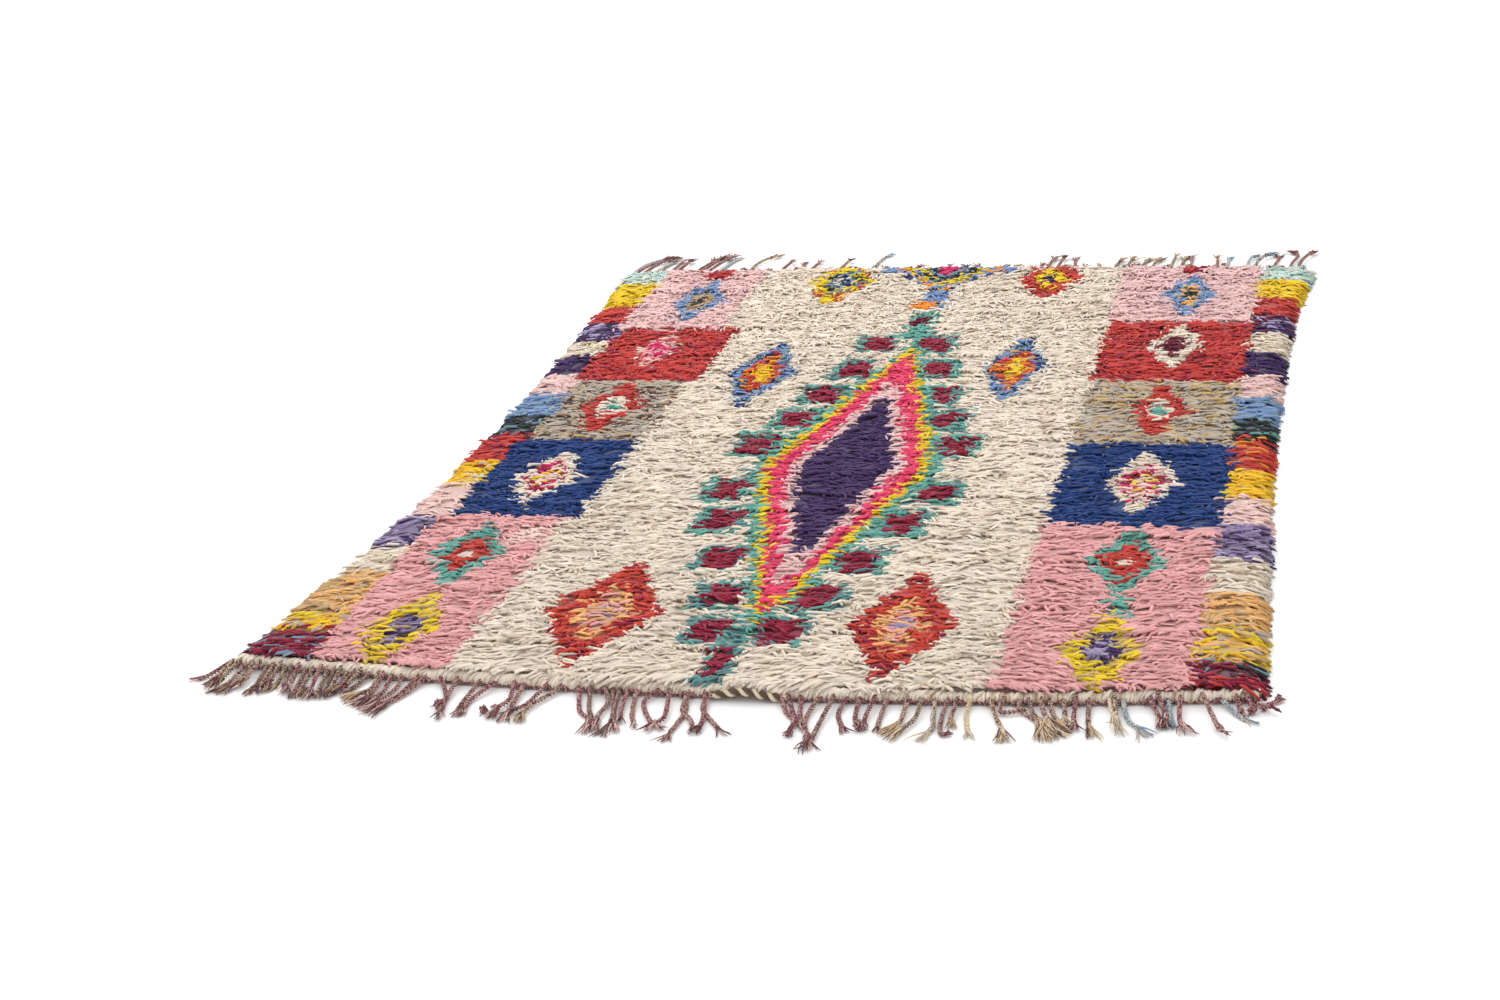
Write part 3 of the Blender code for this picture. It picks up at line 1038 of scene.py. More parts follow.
def row_height(row):
    """How tall a row is, as a share."""
    return ROW_HEIGHTS[row % len(ROW_HEIGHTS)] if row < PILE_ROWS else 1.0


# How a row wanders, and how its roots are spread: less in a tall row, more along the sides
ROW_WAVER = 0.005
WAVER_PATCH = 0.07
WAVER_STEP = 0.61
ROW_SPREAD = 0.006
TALL_ROW = 1.1
TALL_ROW_SPREAD = 0.2 * ROW_SPREAD
SIDE_SPREAD = 0.0092
# Two more rows hang over the back end: how far in they are knotted, their reach and droop
BACK_ROWS = [
    {"inside": 0.014, "reach": 0.72, "droop": 0.46},
    {"inside": 0.005, "reach": 0.42, "droop": 0.80},
]


def root_place(row, across, dice):
    """Where a strip of a row is knotted, and the Y of the pile's two ends there."""
    x, front = cloth_place(across, 0.0)
    back = back_edge(x)
    row_y = front + FIRST_ROW + row / (PILE_ROWS - 1) * (back - LAST_ROW - front - FIRST_ROW)
    scatter = TALL_ROW_SPREAD if row_height(row) > TALL_ROW else ROW_SPREAD
    if row >= PILE_ROWS:
        row_y = back - BACK_ROWS[row - PILE_ROWS]["inside"]
    if from_side(across) < SIDE_ZONE:
        scatter = SIDE_SPREAD
    x = cloth_place(across, (row_y - front) / (back - front))[0]
    waver = ROW_WAVER * noise.noise(Vector((x / WAVER_PATCH, row * WAVER_STEP, 9)))
    y = max(front + FIRST_ROW, row_y + waver + dice.uniform(-scatter, scatter))
    return x, min(y, back - LAST_ROW), front, back


# How much of a row's own height shows, from patch to patch, and how uneven tufts and the last rows are
ROW_SHARE = 0.8
ROW_PATCH = 0.08
TUFT_UNEVEN = 0.22
TUFT_PATCH = 0.05
STAND_HEIGHT = 0.75
STAND_SHARE = 0.6
STAND_PATCH = 0.022


def tallness_at(x, y, row, standing):
    """How tall a strip stands at a place, as a share."""
    tallness = 1 + (row_height(row) - 1) * (ROW_SHARE + noise.noise(Vector((x, y, 6)) / ROW_PATCH))
    tallness *= 1 + TUFT_UNEVEN * noise.noise(Vector((x, y, 0)) / TUFT_PATCH)
    uneven = STAND_SHARE + noise.noise(Vector((x, 3, 0)) / STAND_PATCH)
    return tallness * (1 + STAND_HEIGHT * standing * uneven)


BACK_SWING = 0.40
# A strip's colour is the design's at this share of its length, and strays a little. Strips whose tips would
# be in another colour than shows just ahead of their roots are drawn in
SHOWN_SHARE = 0.72
BORDER_MIX = 0.0035
BORDER_HEADING = 0.85
BORDER_REACH = 0.74
ZONE_AHEAD = 0.010
# The last rows before the back end stand up, and the first ones start low
STAND_ZONE = 0.040
STAND_LEAN = -0.10
FRONT_SINK = 0.15
LEAN_MIDDLE = 0.01
LEAN_SPREAD = 0.07
LEAN_LIMITS = (-0.10, 0.14)
STRIP_WIDTHS = (0.80, 1.38)
STRIP_HEIGHTS = (0.88, 1.14)
# How deep in the bed strips start; from this droop on they start on its face
ROOT_DEPTH = 0.0050
HANGING = 0.5
LOWEST_ROOT = 0.001


def knotted_strip(row, across, tuft_swing, tuft_reach, dice):
    """One strip: the part of the pile it belongs to, and its root, dye, heading, lean and size."""
    over_back = BACK_ROWS[row - PILE_ROWS] if row >= PILE_ROWS else None
    x, y, front, back = root_place(row, across, dice)
    heading, reach, droop = lay_strip(x, y, across, front, tuft_swing, dice)
    reach *= tuft_reach
    if over_back:
        heading = math.pi + dice.gauss(0, BACK_SWING)
        reach = over_back["reach"] * tuft_reach
        droop = over_back["droop"]
    tip_x = x + STRIP_LENGTH * reach * math.sin(heading)
    tip_y = y - STRIP_LENGTH * reach * math.cos(heading)
    if yarns_at(tip_x, tip_y) != yarns_at(x, y - ZONE_AHEAD) and not over_back:
        heading *= BORDER_HEADING
        reach *= BORDER_REACH
    shown = SHOWN_SHARE * STRIP_LENGTH * reach
    seen_x = x + shown * math.sin(heading) + dice.gauss(0, BORDER_MIX)
    seen_y = y - shown * math.cos(heading) + dice.gauss(0, BORDER_MIX)
    yarn = dice.choice(yarns_at(seen_x, seen_y).split())
    standing = 0.0 if over_back else fading(back - y, STAND_ZONE)
    sunk = FRONT_SINK * fading(y - front, EDGE_SLOPE)
    root = ground_lift(x, y) + BED_THICKNESS * edge_share(x, y, across) * (1 - sunk)
    dye = (*dyed(yarn, x, y, dice), 1.0)
    lean = droop + STAND_LEAN * standing + within(dice.gauss(LEAN_MIDDLE, LEAN_SPREAD), *LEAN_LIMITS)
    width = dice.uniform(*STRIP_WIDTHS)
    height = dice.uniform(*STRIP_HEIGHTS) * tallness_at(x, y, row, standing)
    return part_of(yarn, x, y), {
        "place": (x, y, max(LOWEST_ROOT, root - ROOT_DEPTH * fading(droop, HANGING))),
        "dye": dye,
        "heading": heading,
        "lean": lean,
        "size": (width, reach, height),
        "shade": dice.random(),
    }


TUFT_SWING = 0.16
TUFT_REACH = (0.90, 1.08)


def strip_points():
    """Every strip of the pile, by part."""
    dice = random.Random(5)
    parts = {name: [] for name in PILE_PARTS}
    for row in range(PILE_ROWS + len(BACK_ROWS)):
        for tuft in range(TUFTS_IN_ROW):
            tuft_swing = dice.gauss(0, TUFT_SWING)
            tuft_reach = dice.uniform(*TUFT_REACH)
            for strip in range(STRIPS_IN_TUFT):
                across = (tuft + (strip + dice.uniform(0.0, 1.0)) / STRIPS_IN_TUFT) / TUFTS_IN_ROW
                across = BED_INSET + (1 - 2 * BED_INSET) * across
                part, point = knotted_strip(row, across, tuft_swing, tuft_reach, dice)
                parts[part].append(point)
    return parts


pile_tree = pile_graph()


def strip_cloud(name, points, seed, settings):
    """A mesh of strips from a list of points."""
    values = {
        "dye": ("FLOAT_COLOR", "color", [point["dye"] for point in points]),
        "size": ("FLOAT_VECTOR", "vector", [point["size"] for point in points]),
    }
    for label in ("heading", "lean", "shade"):
        values[label] = ("FLOAT", "value", [point[label] for point in points])
    cloud = point_cloud("roots", [point["place"] for point in points], [], values)
    return grown(name, cloud, pile_tree, {**settings, "Seed": seed})


for number, (name, points) in enumerate(strip_points().items()):
    piece = strip_cloud("pile_" + name, points, 10 * number, PILE_SETTINGS)
    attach(piece, "root")
    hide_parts("pile_field")


# The front band
# The end of the cloth is overcast with soft cream wool, wrapped round the edge in close slanting turns. Loose
# locks make it furry on the left and in the middle; on the right it is drawn in between short swellings.

BAND_RADIUS = BAND_THICKNESS / 2
BAND_LEFT = -CLOTH_WIDTH * 0.498 + BAND_RADIUS / 2
BAND_RIGHT = CLOTH_WIDTH * 0.500 - BAND_RADIUS / 2
# The swellings on the right, and the band's thickness in and between them and elsewhere, as shares
SWELLING_LENGTHS = [0.027, 0.022, 0.030, 0.019, 0.025, 0.028, 0.021, 0.024]
SWELLINGS_FROM = 0.235
SWELLING_LEAST = 0.84
SWELLING_RISE = 0.38
SWELLING_POWER = 0.7
LOOSE_THICKNESS = 1.08
LOOSE_UNEVEN = 0.10
LOOSE_PATCH = 0.02
EDGE_STEP = 0.001


def band_swelling(x):
    """The band's thickness at a place, as a share: drawn in between the swellings on the right."""
    start = SWELLINGS_FROM
    number = 0
    while start < x:
        length = SWELLING_LENGTHS[number % len(SWELLING_LENGTHS)]
        if x < start + length:
            share = (x - start) / length
            return SWELLING_LEAST + SWELLING_RISE * math.sin(math.pi * share) ** SWELLING_POWER
        start += length
        number += 1
    return LOOSE_THICKNESS + LOOSE_UNEVEN * noise.noise(Vector((x / LOOSE_PATCH, 0, 0)))


def band_place(x):
    """The middle of the band at a place across the rug."""
    return Vector((x, front_edge(x) + BAND_RADIUS, BAND_RADIUS + arch_lift(x)))


def edge_angle(x):
    """The direction of the front edge in plan."""
    return math.atan2(front_edge(x + EDGE_STEP) - front_edge(x - EDGE_STEP), 2 * EDGE_STEP)


# Two shapes of wool round the band: whole turns, and longer slanting locks that lie loose on them
TURN = {"name": "turn", "from": -35, "to": 215, "out": 0.86, "slant": 0.0, "taper": 0.5}
LOCK = {"name": "lock", "from": -28, "to": 128, "out": 1.16, "slant": -0.0085, "taper": 0.15}
WRAP_KINDS = 5
WRAP_STEPS = 8
WRAP_WIDTH = 0.0052
WRAP_HEIGHT = 0.0024
# How unevenly they are wound: off the band, aside, and in width
WRAP_OUT = (-0.06, 0.06)
WRAP_STRAY = 0.0006
WRAP_WIDTHS = (0.85, 1.1)


def build_wrap(index, shape):
    """One strip of soft yarn over the edge, from the floor in front to the back of the band."""
    dice = random.Random(300 + index)
    bm = bmesh.new()
    rings = []
    for number in range(WRAP_STEPS + 1):
        share = number / WRAP_STEPS
        around = math.radians(180 - shape["from"] - share * (shape["to"] - shape["from"]))
        radius = BAND_RADIUS * (shape["out"] + dice.uniform(*WRAP_OUT))
        out = Vector((0, math.cos(around), math.sin(around)))
        aside = shape["slant"] * (0.5 - share) + dice.uniform(-1, 1) * WRAP_STRAY
        middle = out * radius + Vector((aside, 0, 0))
        swell = shape["taper"] + (1 - shape["taper"]) * math.sqrt(math.sin(math.pi * share))
        half = Vector((WRAP_WIDTH / 2 * swell * dice.uniform(*WRAP_WIDTHS), 0, 0))
        high = out * WRAP_HEIGHT / 2 * swell
        corners = (middle + half, middle + high, middle - half, middle - high)
        rings.append([bm.verts.new(corner) for corner in corners])
    add_tube(bm, rings)
    bm.faces.new(list(reversed(rings[0])))
    bm.faces.new(rings[-1])
    bmesh.ops.recalc_face_normals(bm, faces=bm.faces)
    return bpy.data.objects.new("%s_%02d" % (shape["name"], index), mesh_of(shape["name"], bm))


wraps = {}
for shape in (TURN, LOCK):
    wraps[shape["name"]] = bpy.data.collections.new(shape["name"])
    for index in range(WRAP_KINDS):
        wraps[shape["name"]].objects.link(build_wrap(index, shape))

# How the turns follow each other: the way from one to the next, and the spreads of how each lies
WRAP_SPACING = 0.0036
TURN_SPREAD = {"step": (0.6, 1.4), "slant": (-0.45, 0.15), "width": (0.9, 1.3), "height": (0.94, 1.06)}


def band_points():
    """A turn of yarn every few millimetres along the band."""
    dice = random.Random(21)
    points = []
    x = BAND_LEFT
    while x < BAND_RIGHT:
        place = band_place(x)
        size = band_swelling(x)
        points.append({
            "place": place,
            "dye": (*dyed(dice.choice(["cream", "cream", "beige"]), x, place.y, dice), 1.0),
            "heading": edge_angle(x) + dice.uniform(*TURN_SPREAD["slant"]),
            "lean": 0.0,
            "size": (dice.uniform(*TURN_SPREAD["width"]), size, size * dice.uniform(*TURN_SPREAD["height"])),
            "shade": dice.random(),
        })
        x += WRAP_SPACING * dice.uniform(*TURN_SPREAD["step"])
    return points


# The locks: some stray ones on the right too, and shorter, steeper ones that stand off the bare arch
LOCK_SPACING = 0.0019
LOCK_SPREAD = {"step": (0.4, 1.6), "slant": (-0.25, 0.16), "lean": (-0.25, 0.15), "width": (0.7, 1.2)}
LOCK_SIZE = (0.94, 1.16)
LOCK_SEAT = Vector((0, 0.001, 0.0004))
STRAY_LOCKS = 0.10
ARCH_REACH = 1.2 * ARCH_HALF_WIDTH
ARCH_SHORTER = 0.12
ARCH_STEEPER = 0.45
ARCH_OFF = Vector((0, 0, 0.003))


def band_locks():
    """Loose locks over the turns, close together on the left and in the middle and sparse on the right."""
    dice = random.Random(22)
    points = []
    x = BAND_LEFT
    while x < BAND_RIGHT:
        place = band_place(x)
        at_arch = bump_shape((x - ARCH_X) / ARCH_REACH)
        if x < SWELLINGS_FROM or dice.random() < STRAY_LOCKS:
            size = dice.uniform(*LOCK_SIZE) * (1 - ARCH_SHORTER * at_arch)
            points.append({
                "place": place + LOCK_SEAT + ARCH_OFF * at_arch,
                "dye": (*dyed("cream", x, place.y, dice), 1.0),
                "heading": edge_angle(x) + dice.gauss(*LOCK_SPREAD["slant"]),
                "lean": dice.uniform(*LOCK_SPREAD["lean"]) - ARCH_STEEPER * at_arch,
                "size": (dice.uniform(*LOCK_SPREAD["width"]), size, size),
                "shade": dice.random(),
            })
        x += LOCK_SPACING * dice.uniform(*LOCK_SPREAD["step"])
    return points


CORE_STATIONS = 260
CORE_SIDES = 8
CORE_SHARE = 0.88
CORE_END = 0.5
CORE_SHADE = 0.3


def build_band_core(finish):
    """The bundle inside the turns, closed at both ends."""
    bm = bmesh.new()
    rings = []
    for number in range(CORE_STATIONS + 1):
        x = BAND_LEFT + number / CORE_STATIONS * (BAND_RIGHT - BAND_LEFT)
        radius = BAND_RADIUS * CORE_SHARE * band_swelling(x)
        if number in (0, CORE_STATIONS):
            radius *= CORE_END
        angles = [2 * math.pi * side / CORE_SIDES for side in range(CORE_SIDES)]
        corners = [band_place(x) + Vector((0, math.cos(a), math.sin(a))) * radius for a in angles]
        rings.append([bm.verts.new(corner) for corner in corners])
    add_tube(bm, rings)
    bm.faces.new(list(reversed(rings[0])))
    bm.faces.new(rings[-1])
    bmesh.ops.recalc_face_normals(bm, faces=bm.faces)
    dyes = bm.faces.layers.float_color.new("dye")
    shades = bm.faces.layers.float.new("shade")
    for face in bm.faces:
        face.smooth = True
        face[dyes] = (*linear("tan"), 1.0)
        face[shades] = CORE_SHADE
    mesh = mesh_of("band_core", bm)
    mesh.materials.append(finish)
    return placed("band_core", mesh)


# The band's finish paints shade darker towards the floor
band_finish = yarn_finish("band_finish", deep=0.80, tip_height=0.011, sheen=0.14)
TURN_SETTINGS = {
    "Strips": wraps["turn"],
    "Kinds": WRAP_KINDS - 1,
    "Roll": 0.05,
    "Crumple": 0.0022,
    "Crumple scale": PILE_SETTINGS["Crumple scale"],
    "Finish": band_finish,
}
LOCK_SETTINGS = {**TURN_SETTINGS, "Strips": wraps["lock"], "Crumple": 0.0030}
turns = strip_cloud("band_turns", band_points(), 81, TURN_SETTINGS)
locks = strip_cloud("band_locks", band_locks(), 82, LOCK_SETTINGS)
core = build_band_core(band_finish)
for piece in (turns, locks, core):
    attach(piece, "root")
    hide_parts("front_band")


# The twisted fringe
# The warp ends past the edge, twisted in pairs of plies into cords, some tied together, with their ends
# untwisted into loose strands. They lie on the floor as they fell, swept to the left at the left corner.

MM = 0.001

# Yarns of the cords: the dyes of their plies, the fleck spun into them, and the dyes of their loose ends
CordYarn = namedtuple("CordYarn", "plies fleck ends")
CORD_YARNS = {
    "brown": CordYarn("brown brown burgundy", "beige", "brown burgundy tan"),
    "rose": CordYarn("burgundy brown brown", "dusty", "burgundy brown dusty"),
    "burgundy": CordYarn("burgundy burgundy brown", "dusty", "burgundy brown dusty"),
    "crimson": CordYarn("wine burgundy", "dusty", "wine burgundy dusty"),
    "tan": CordYarn("burgundy brown", "beige", "tan tan brown beige"),
    "pale": CordYarn("brown tan", "cream", "stone beige beige"),
    "slate": CordYarn("slate black", "cream", "slate slate stone"),
}

# Cords of the front fringe, in millimetres: root across the rug, then bends as (aside, ahead of the edge),
# the yarn, and the length of the untwisted end with its number of strands
FRONT_CORDS = [
    (-580, [(-19, 33), (-42, 42)], "rose", 20, 3),
    (-577, [(-5, 33), (-10, 57)], "brown", 24, 6),
    (-567, [(-5, 37), (-11, 71)], "brown", 30, 7),
    (-559, [(-4, 41), (-10, 70)], "brown", 28, 7),
    (-550, [(-1, 42), (-8, 70)], "brown", 28, 7),
    (-541, [(-4, 40), (-10, 65)], "brown", 26, 6),
    (-532, [(3, 41), (3, 68)], "brown", 26, 7),
    (-524, [(4, 45), (4, 70)], "brown", 28, 7),
    (-515, [(3, 40), (3, 61)], "brown", 24, 6),
    (-509, [(4, 39), (3, 58)], "brown", 24, 6),
    (-501, [(8, 43), (12, 63)], "rose", 24, 7),
    (-492, [(9, 47), (16, 69)], "rose", 28, 7),
    (-483, [(7, 48), (13, 71)], "rose", 28, 7),
    (-474, [(6, 49), (11, 71)], "brown", 28, 7),
    (-464, [(8, 50), (13, 69)], "rose", 28, 7),
    (-456, [(8, 48), (14, 68)], "brown", 26, 6),
    (-447, [(8, 47), (13, 64)], "rose", 26, 6),
    (-439, [(6, 40), (11, 55)], "brown", 20, 6),
    (-430, [(-1, 37), (-5, 50)], "rose", 18, 5),
    (-421, [(-6, 38), (-18, 60)], "rose", 20, 5),
    (-413, [(-5, 32), (-14, 50)], "brown", 18, 5),
    (-403, [(-8, 28), (-20, 44)], "rose", 16, 5),
    (-391, [(3, 33), (-10, 47), (-26, 60)], "tan", 26, 14),
    (-386, [(2, 42), (-11, 78)], "burgundy", 34, 8),
    (-376, [(2, 41), (-15, 82)], "burgundy", 34, 8),
    (-364, [(3, 24), (-4, 55), (-16, 83)], "rose", 30, 7),
    (-341, [(-11, 47), (-37, 98)], "burgundy", 34, 5),
    (-334, [(-15, 43), (-40, 87)], "burgundy", 30, 5),
    (-318, [(21, 36), (23, 65)], "burgundy", 20, 10),
    (-295, [(1, 39), (4, 66), (12, 92)], "rose", 24, 8),
    (-268, [(-5, 55), (0, 86)], "burgundy", 22, 8),
    (-248, [(-17, 36), (-18, 58), (-19, 76)], "burgundy", 22, 10),
    (-228, [(6, 34), (0, 54), (-9, 82)], "burgundy", 24, 9),
    (-216, [(1, 57), (2, 96)], "burgundy", 30, 5),
    (-189, [(-10, 40), (-20, 55), (-29, 71)], "rose", 20, 5),
    (-171, [(-7, 10), (-20, 38), (-25, 58), (-28, 82)], "tan", 24, 10),
    (-152, [(15, 48), (30, 66), (40, 105)], "burgundy", 34, 5),
    (-139, [(11, 42), (21, 65), (29, 102)], "rose", 32, 6),
    (-123, [(13, 30), (11, 59), (14, 97)], "rose", 34, 6),
    (-114, [(14, 43), (19, 72), (19, 102)], "rose", 30, 6),
    (-105, [(6, 43), (15, 71), (24, 98)], "rose", 26, 5),
    (-94, [(2, 37), (12, 79)], "burgundy", 16, 5),
    (-86, [(9, 50), (22, 80)], "rose", 14, 5),
    (-60, [(-12, 20), (3, 57), (18, 77), (30, 83)], "burgundy", 20, 5),
    (-49, [(10, 56), (1, 71), (-3, 90)], "rose", 20, 5),
    (-32, [(10, 30), (10, 63), (5, 110)], "burgundy", 22, 7),
    (-26, [(1, 35), (16, 58), (30, 94)], "rose", 22, 6),
    (-9, [(10, 42), (14, 75), (11, 89)], "burgundy", 18, 8),
    (0, [(-5, 27), (18, 64), (35, 90)], "rose", 20, 3),
    (74, [(13, 30), (27, 52), (24, 92)], "burgundy", 26, 8),
    (81, [(17, 39), (28, 61), (36, 74)], "burgundy", 16, 6),
    (97, [(7, 38), (16, 61), (27, 92), (30, 126)], "burgundy", 36, 4),
    (118, [(-6, 33), (-4, 61), (8, 92)], "rose", 24, 6),
    (133, [(-4, 55), (-5, 101), (-7, 120)], "rose", 34, 5),
    (147, [(-4, 26), (2, 49), (17, 80)], "rose", 18, 5),
    (161, [(2, 39), (9, 57), (17, 66)], "rose", 12, 10),
    (177, [(-3, 39), (0, 66)], "burgundy", 14, 8),
    (190, [(-1, 38), (1, 70)], "rose", 14, 5),
    (212, [(0, 37), (-4, 60), (-16, 78)], "tan", 30, 8),
    (227, [(-1, 41), (-13, 70), (-24, 92)], "tan", 34, 9),
    (241, [(3, 36), (6, 58), (-5, 91)], "pale", 32, 6),
    (255, [(-2, 31), (0, 58), (5, 74), (14, 66)], "rose", 10, 5),
    (265, [(-2, 35), (1, 64)], "tan", 24, 9),
    (278, [(-1, 25), (7, 66), (13, 88)], "pale", 24, 4),
    (297, [(14, 38), (22, 60), (28, 90)], "tan", 32, 12),
    (312, [(0, 22), (18, 19), (27, 13)], "rose", 4, 2),
    (327, [(6, 15), (29, 45), (51, 78)], "tan", 42, 14),
    (338, [(8, 24), (24, 50), (36, 80)], "tan", 46, 16),
    (351, [(7, 28), (20, 50), (28, 72)], "tan", 40, 14),
    (359, [(9, 28), (19, 46), (24, 64)], "tan", 34, 10),
    (374, [(5, 29), (7, 47)], "tan", 16, 5),
    (387, [(2, 38), (7, 61)], "rose", 16, 6),
    (401, [(2, 34), (10, 87)], "tan", 36, 6),
    (420, [(9, 33), (16, 60), (23, 78)], "pale", 26, 5),
    (426, [(5, 34), (4, 61)], "pale", 24, 8),
    (434, [(10, 38), (23, 55), (39, 79)], "slate", 30, 5),
    (461, [(13, 34), (19, 65)], "crimson", 26, 12),
    (470, [(10, 32), (14, 63)], "burgundy", 26, 8),
    (481, [(5, 35), (9, 62)], "slate", 22, 12),
    (493, [(3, 45), (14, 80)], "crimson", 30, 6),
    (515, [(14, 41), (22, 67), (35, 79)], "burgundy", 12, 3),
    (532, [(23, 32), (44, 50)], "slate", 24, 3),
    (549, [(7, 30), (14, 42)], "crimson", 16, 6),
    (558, [(10, 22), (24, 18), (36, 28)], "crimson", 12, 4),
    (566, [(8, 10), (20, 4), (32, -10)], "crimson", 12, 5),
]

# Small knots tied in the cords: place in millimetres across and ahead of the edge, width, yarn
FRONT_KNOTS = [
    (-294, 62, 13, "crimson"),
    (-243, 62, 9, "burgundy"),
    (-232, 56, 8, "burgundy"),
    (172, 62, 12, "burgundy"),
    (385, 54, 7, "tan"),
    (536, 60, 7, "crimson"),
    (566, 26, 9, "crimson"),
    (578, 18, 8, "crimson"),
    (592, -2, 8, "crimson"),
]

# Pale flecks show as the grain passes between these limits
GRAIN_SCALE = 480.0
CORD_HAIR_SCALE = 2400.0
FLECK_LIMITS = {"From Min": 0.47, "From Max": 0.53}
FLECK_SHARE = 0.75
# What a cord's own shade and its hair leave of the dye at least, and add to that at most
PLY_SHARES = (0.78, 0.34)
CORD_HAIR_SHARES = (0.86, 0.28)
CORD_BUMP = {"Strength": 0.4, "Distance": 0.0004}
CORD_SHEEN = 0.2


def cord_finish(name):
    """Twisted yarn: its dye with pale flecks spun in, and fine hair."""
    material, graph = shader_graph(name)
    place = graph.add("ShaderNodeTexCoord", out="Object")
    grain, hair = graph.grain(place, GRAIN_SCALE, 2.0), graph.grain(place, CORD_HAIR_SCALE, 1.0)
    spun = graph.add("ShaderNodeMapRange", values={"Value": grain, **FLECK_LIMITS})
    colour = graph.mixed(spun * FLECK_SHARE, graph.named("dye", "Color"), graph.named("fleck", "Color"))
    strength = PLY_SHARES[0] + PLY_SHARES[1] * graph.named("shade")
    strength = strength * (CORD_HAIR_SHARES[0] + CORD_HAIR_SHARES[1] * hair)
    grey = graph.add("ShaderNodeCombineColor", values={0: strength, 1: strength, 2: strength})
    colour = graph.mixed(1.0, colour, grey, "MULTIPLY")
    bump = graph.add("ShaderNodeBump", values={**CORD_BUMP, "Height": grain + 0.5 * hair})
    close_wool(graph, colour, bump, CORD_SHEEN)
    return material


# The lowest that a yarn of the fringe reaches
CORD_LOWEST = 0.0004


def ply_graph():
    """Lines in, yarn out: plies twisted round each line, or one strand where the ply offset is nothing."""
    graph, given = shapes_graph("twisted_cord", [
        ("Ply radius", "NodeSocketFloat"),
        ("Ply offset", "NodeSocketFloat"),
        ("Plies", "NodeSocketInt"),
        ("Ply sides", "NodeSocketInt"),
        ("Twist length", "NodeSocketFloat"),
        ("Step", "NodeSocketFloat"),
        ("Finish", "NodeSocketMaterial"),
    ])
    line = graph.add("GeometryNodeMeshToCurve", values={"Mesh": given["Geometry"]})
    stations = {"Curve": line, "Length": given["Step"]}
    line = graph.add("GeometryNodeResampleCurve", {"mode": "LENGTH"}, stations)
    length = graph.add("GeometryNodeSplineParameter", out="Length")
    turn = length * (2 * math.pi) / given["Twist length"]
    line = graph.add("GeometryNodeSetCurveTilt", values={"Curve": line, "Tilt": turn})
    circle = {"Resolution": given["Ply sides"], "Radius": given["Ply radius"]}
    round_ply = graph.add("GeometryNodeCurvePrimitiveCircle", values=circle)
    first_seat = graph.add("ShaderNodeCombineXYZ", values={0: -1.0 * given["Ply offset"]})
    next_seat = graph.add("ShaderNodeCombineXYZ", values={0: 2.0 * given["Ply offset"]})
    row = {"Count": given["Plies"], "Start Location": first_seat, "Offset": next_seat}
    seats = graph.add("GeometryNodeMeshLine", values=row)
    plies = graph.add("GeometryNodeInstanceOnPoints", values={"Points": seats, "Instance": round_ply})
    plies = graph.add("GeometryNodeRealizeInstances", values={"Geometry": plies})
    thick = graph.add("GeometryNodeInputNamedAttribute", {"data_type": "FLOAT"}, {"Name": "thick"})
    profile = {"Curve": line, "Profile Curve": plies, "Scale": thick, "Fill Caps": True}
    yarn = graph.add("GeometryNodeCurveToMesh", values=profile)
    yarn = on_floor(graph, yarn, CORD_LOWEST)
    yarn = graph.add("GeometryNodeSetShadeSmooth", values={"Geometry": yarn, "Shade Smooth": True})
    yarn = graph.add("GeometryNodeSetMaterial", values={"Geometry": yarn, "Material": given["Finish"]})
    close_graph(graph, yarn)
    return graph


cord_tree = ply_graph()
CORD_PLY_RADIUS = 0.00165
STRAND_RADIUS = 0.00095
CORD_SETTINGS = {
    "Ply radius": CORD_PLY_RADIUS,
    "Ply offset": 0.00145,
    "Plies": 2,
    "Ply sides": 5,
    "Twist length": 0.0095,
    "Step": 0.0021,
    "Finish": cord_finish("cord_finish"),
}
STRAND_SETTINGS = {
    **CORD_SETTINGS,
    "Ply radius": STRAND_RADIUS,
    "Ply offset": 0.0,
    "Plies": 1,
    "Ply sides": 3,
    "Step": 0.008,
}


def smooth_path(points, per_bend):
    """A path through all the points, with rounded bends."""
    padded = [points[0] * 2 - points[1], *points, points[-1] * 2 - points[-2]]
    path = []
    for a, b, c, d in zip(padded, padded[1:], padded[2:], padded[3:]):
        for number in range(per_bend):
            t = number / per_bend
            straight = 2 * b + (c - a) * t
            bent = (2 * a - 5 * b + 4 * c - d) * t * t + (3 * b - a - 3 * c + d) * t ** 3
            path.append((straight + bent) / 2)
    path.append(points[-1])
    return path


class Lines:
    """Lines for the yarn trees, gathered with the dye and thickness of each of their points."""

    def __init__(self):
        self.points, self.edges, self.dyes, self.flecks, self.shades, self.thick = [], [], [], [], [], []

    def add(self, path, dye, fleck, shade, thicks):
        first = len(self.points)
        self.points += path
        self.edges += [(first + i, first + i + 1) for i in range(len(path) - 1)]
        self.dyes += [(*dye, 1.0)] * len(path)
        self.flecks += [(*fleck, 1.0)] * len(path)
        self.shades += [shade] * len(path)
        self.thick += thicks

    def grow(self, name, settings):
        values = {
            "dye": ("FLOAT_COLOR", "color", self.dyes),
            "fleck": ("FLOAT_COLOR", "color", self.flecks),
            "shade": ("FLOAT", "value", self.shades),
            "thick": ("FLOAT", "value", self.thick),
        }
        return grown(name, point_cloud(name, self.points, self.edges, values), cord_tree, settings)


# How a cord comes out of the cloth's end: how far inside it starts, how much higher, and how high it lies,
# with every third cord on the floor and the next two over it, less so in the middle of the front
ROOT_INSIDE = 0.003
ROOT_RISE = 0.0045
CORD_HEIGHT = 0.0026
CORD_LAYER = 0.0022
CORD_LAYERS = 3
CORNER_FROM = 390
MIDDLE_LAYER = 0.4
CORD_BENDS = 4
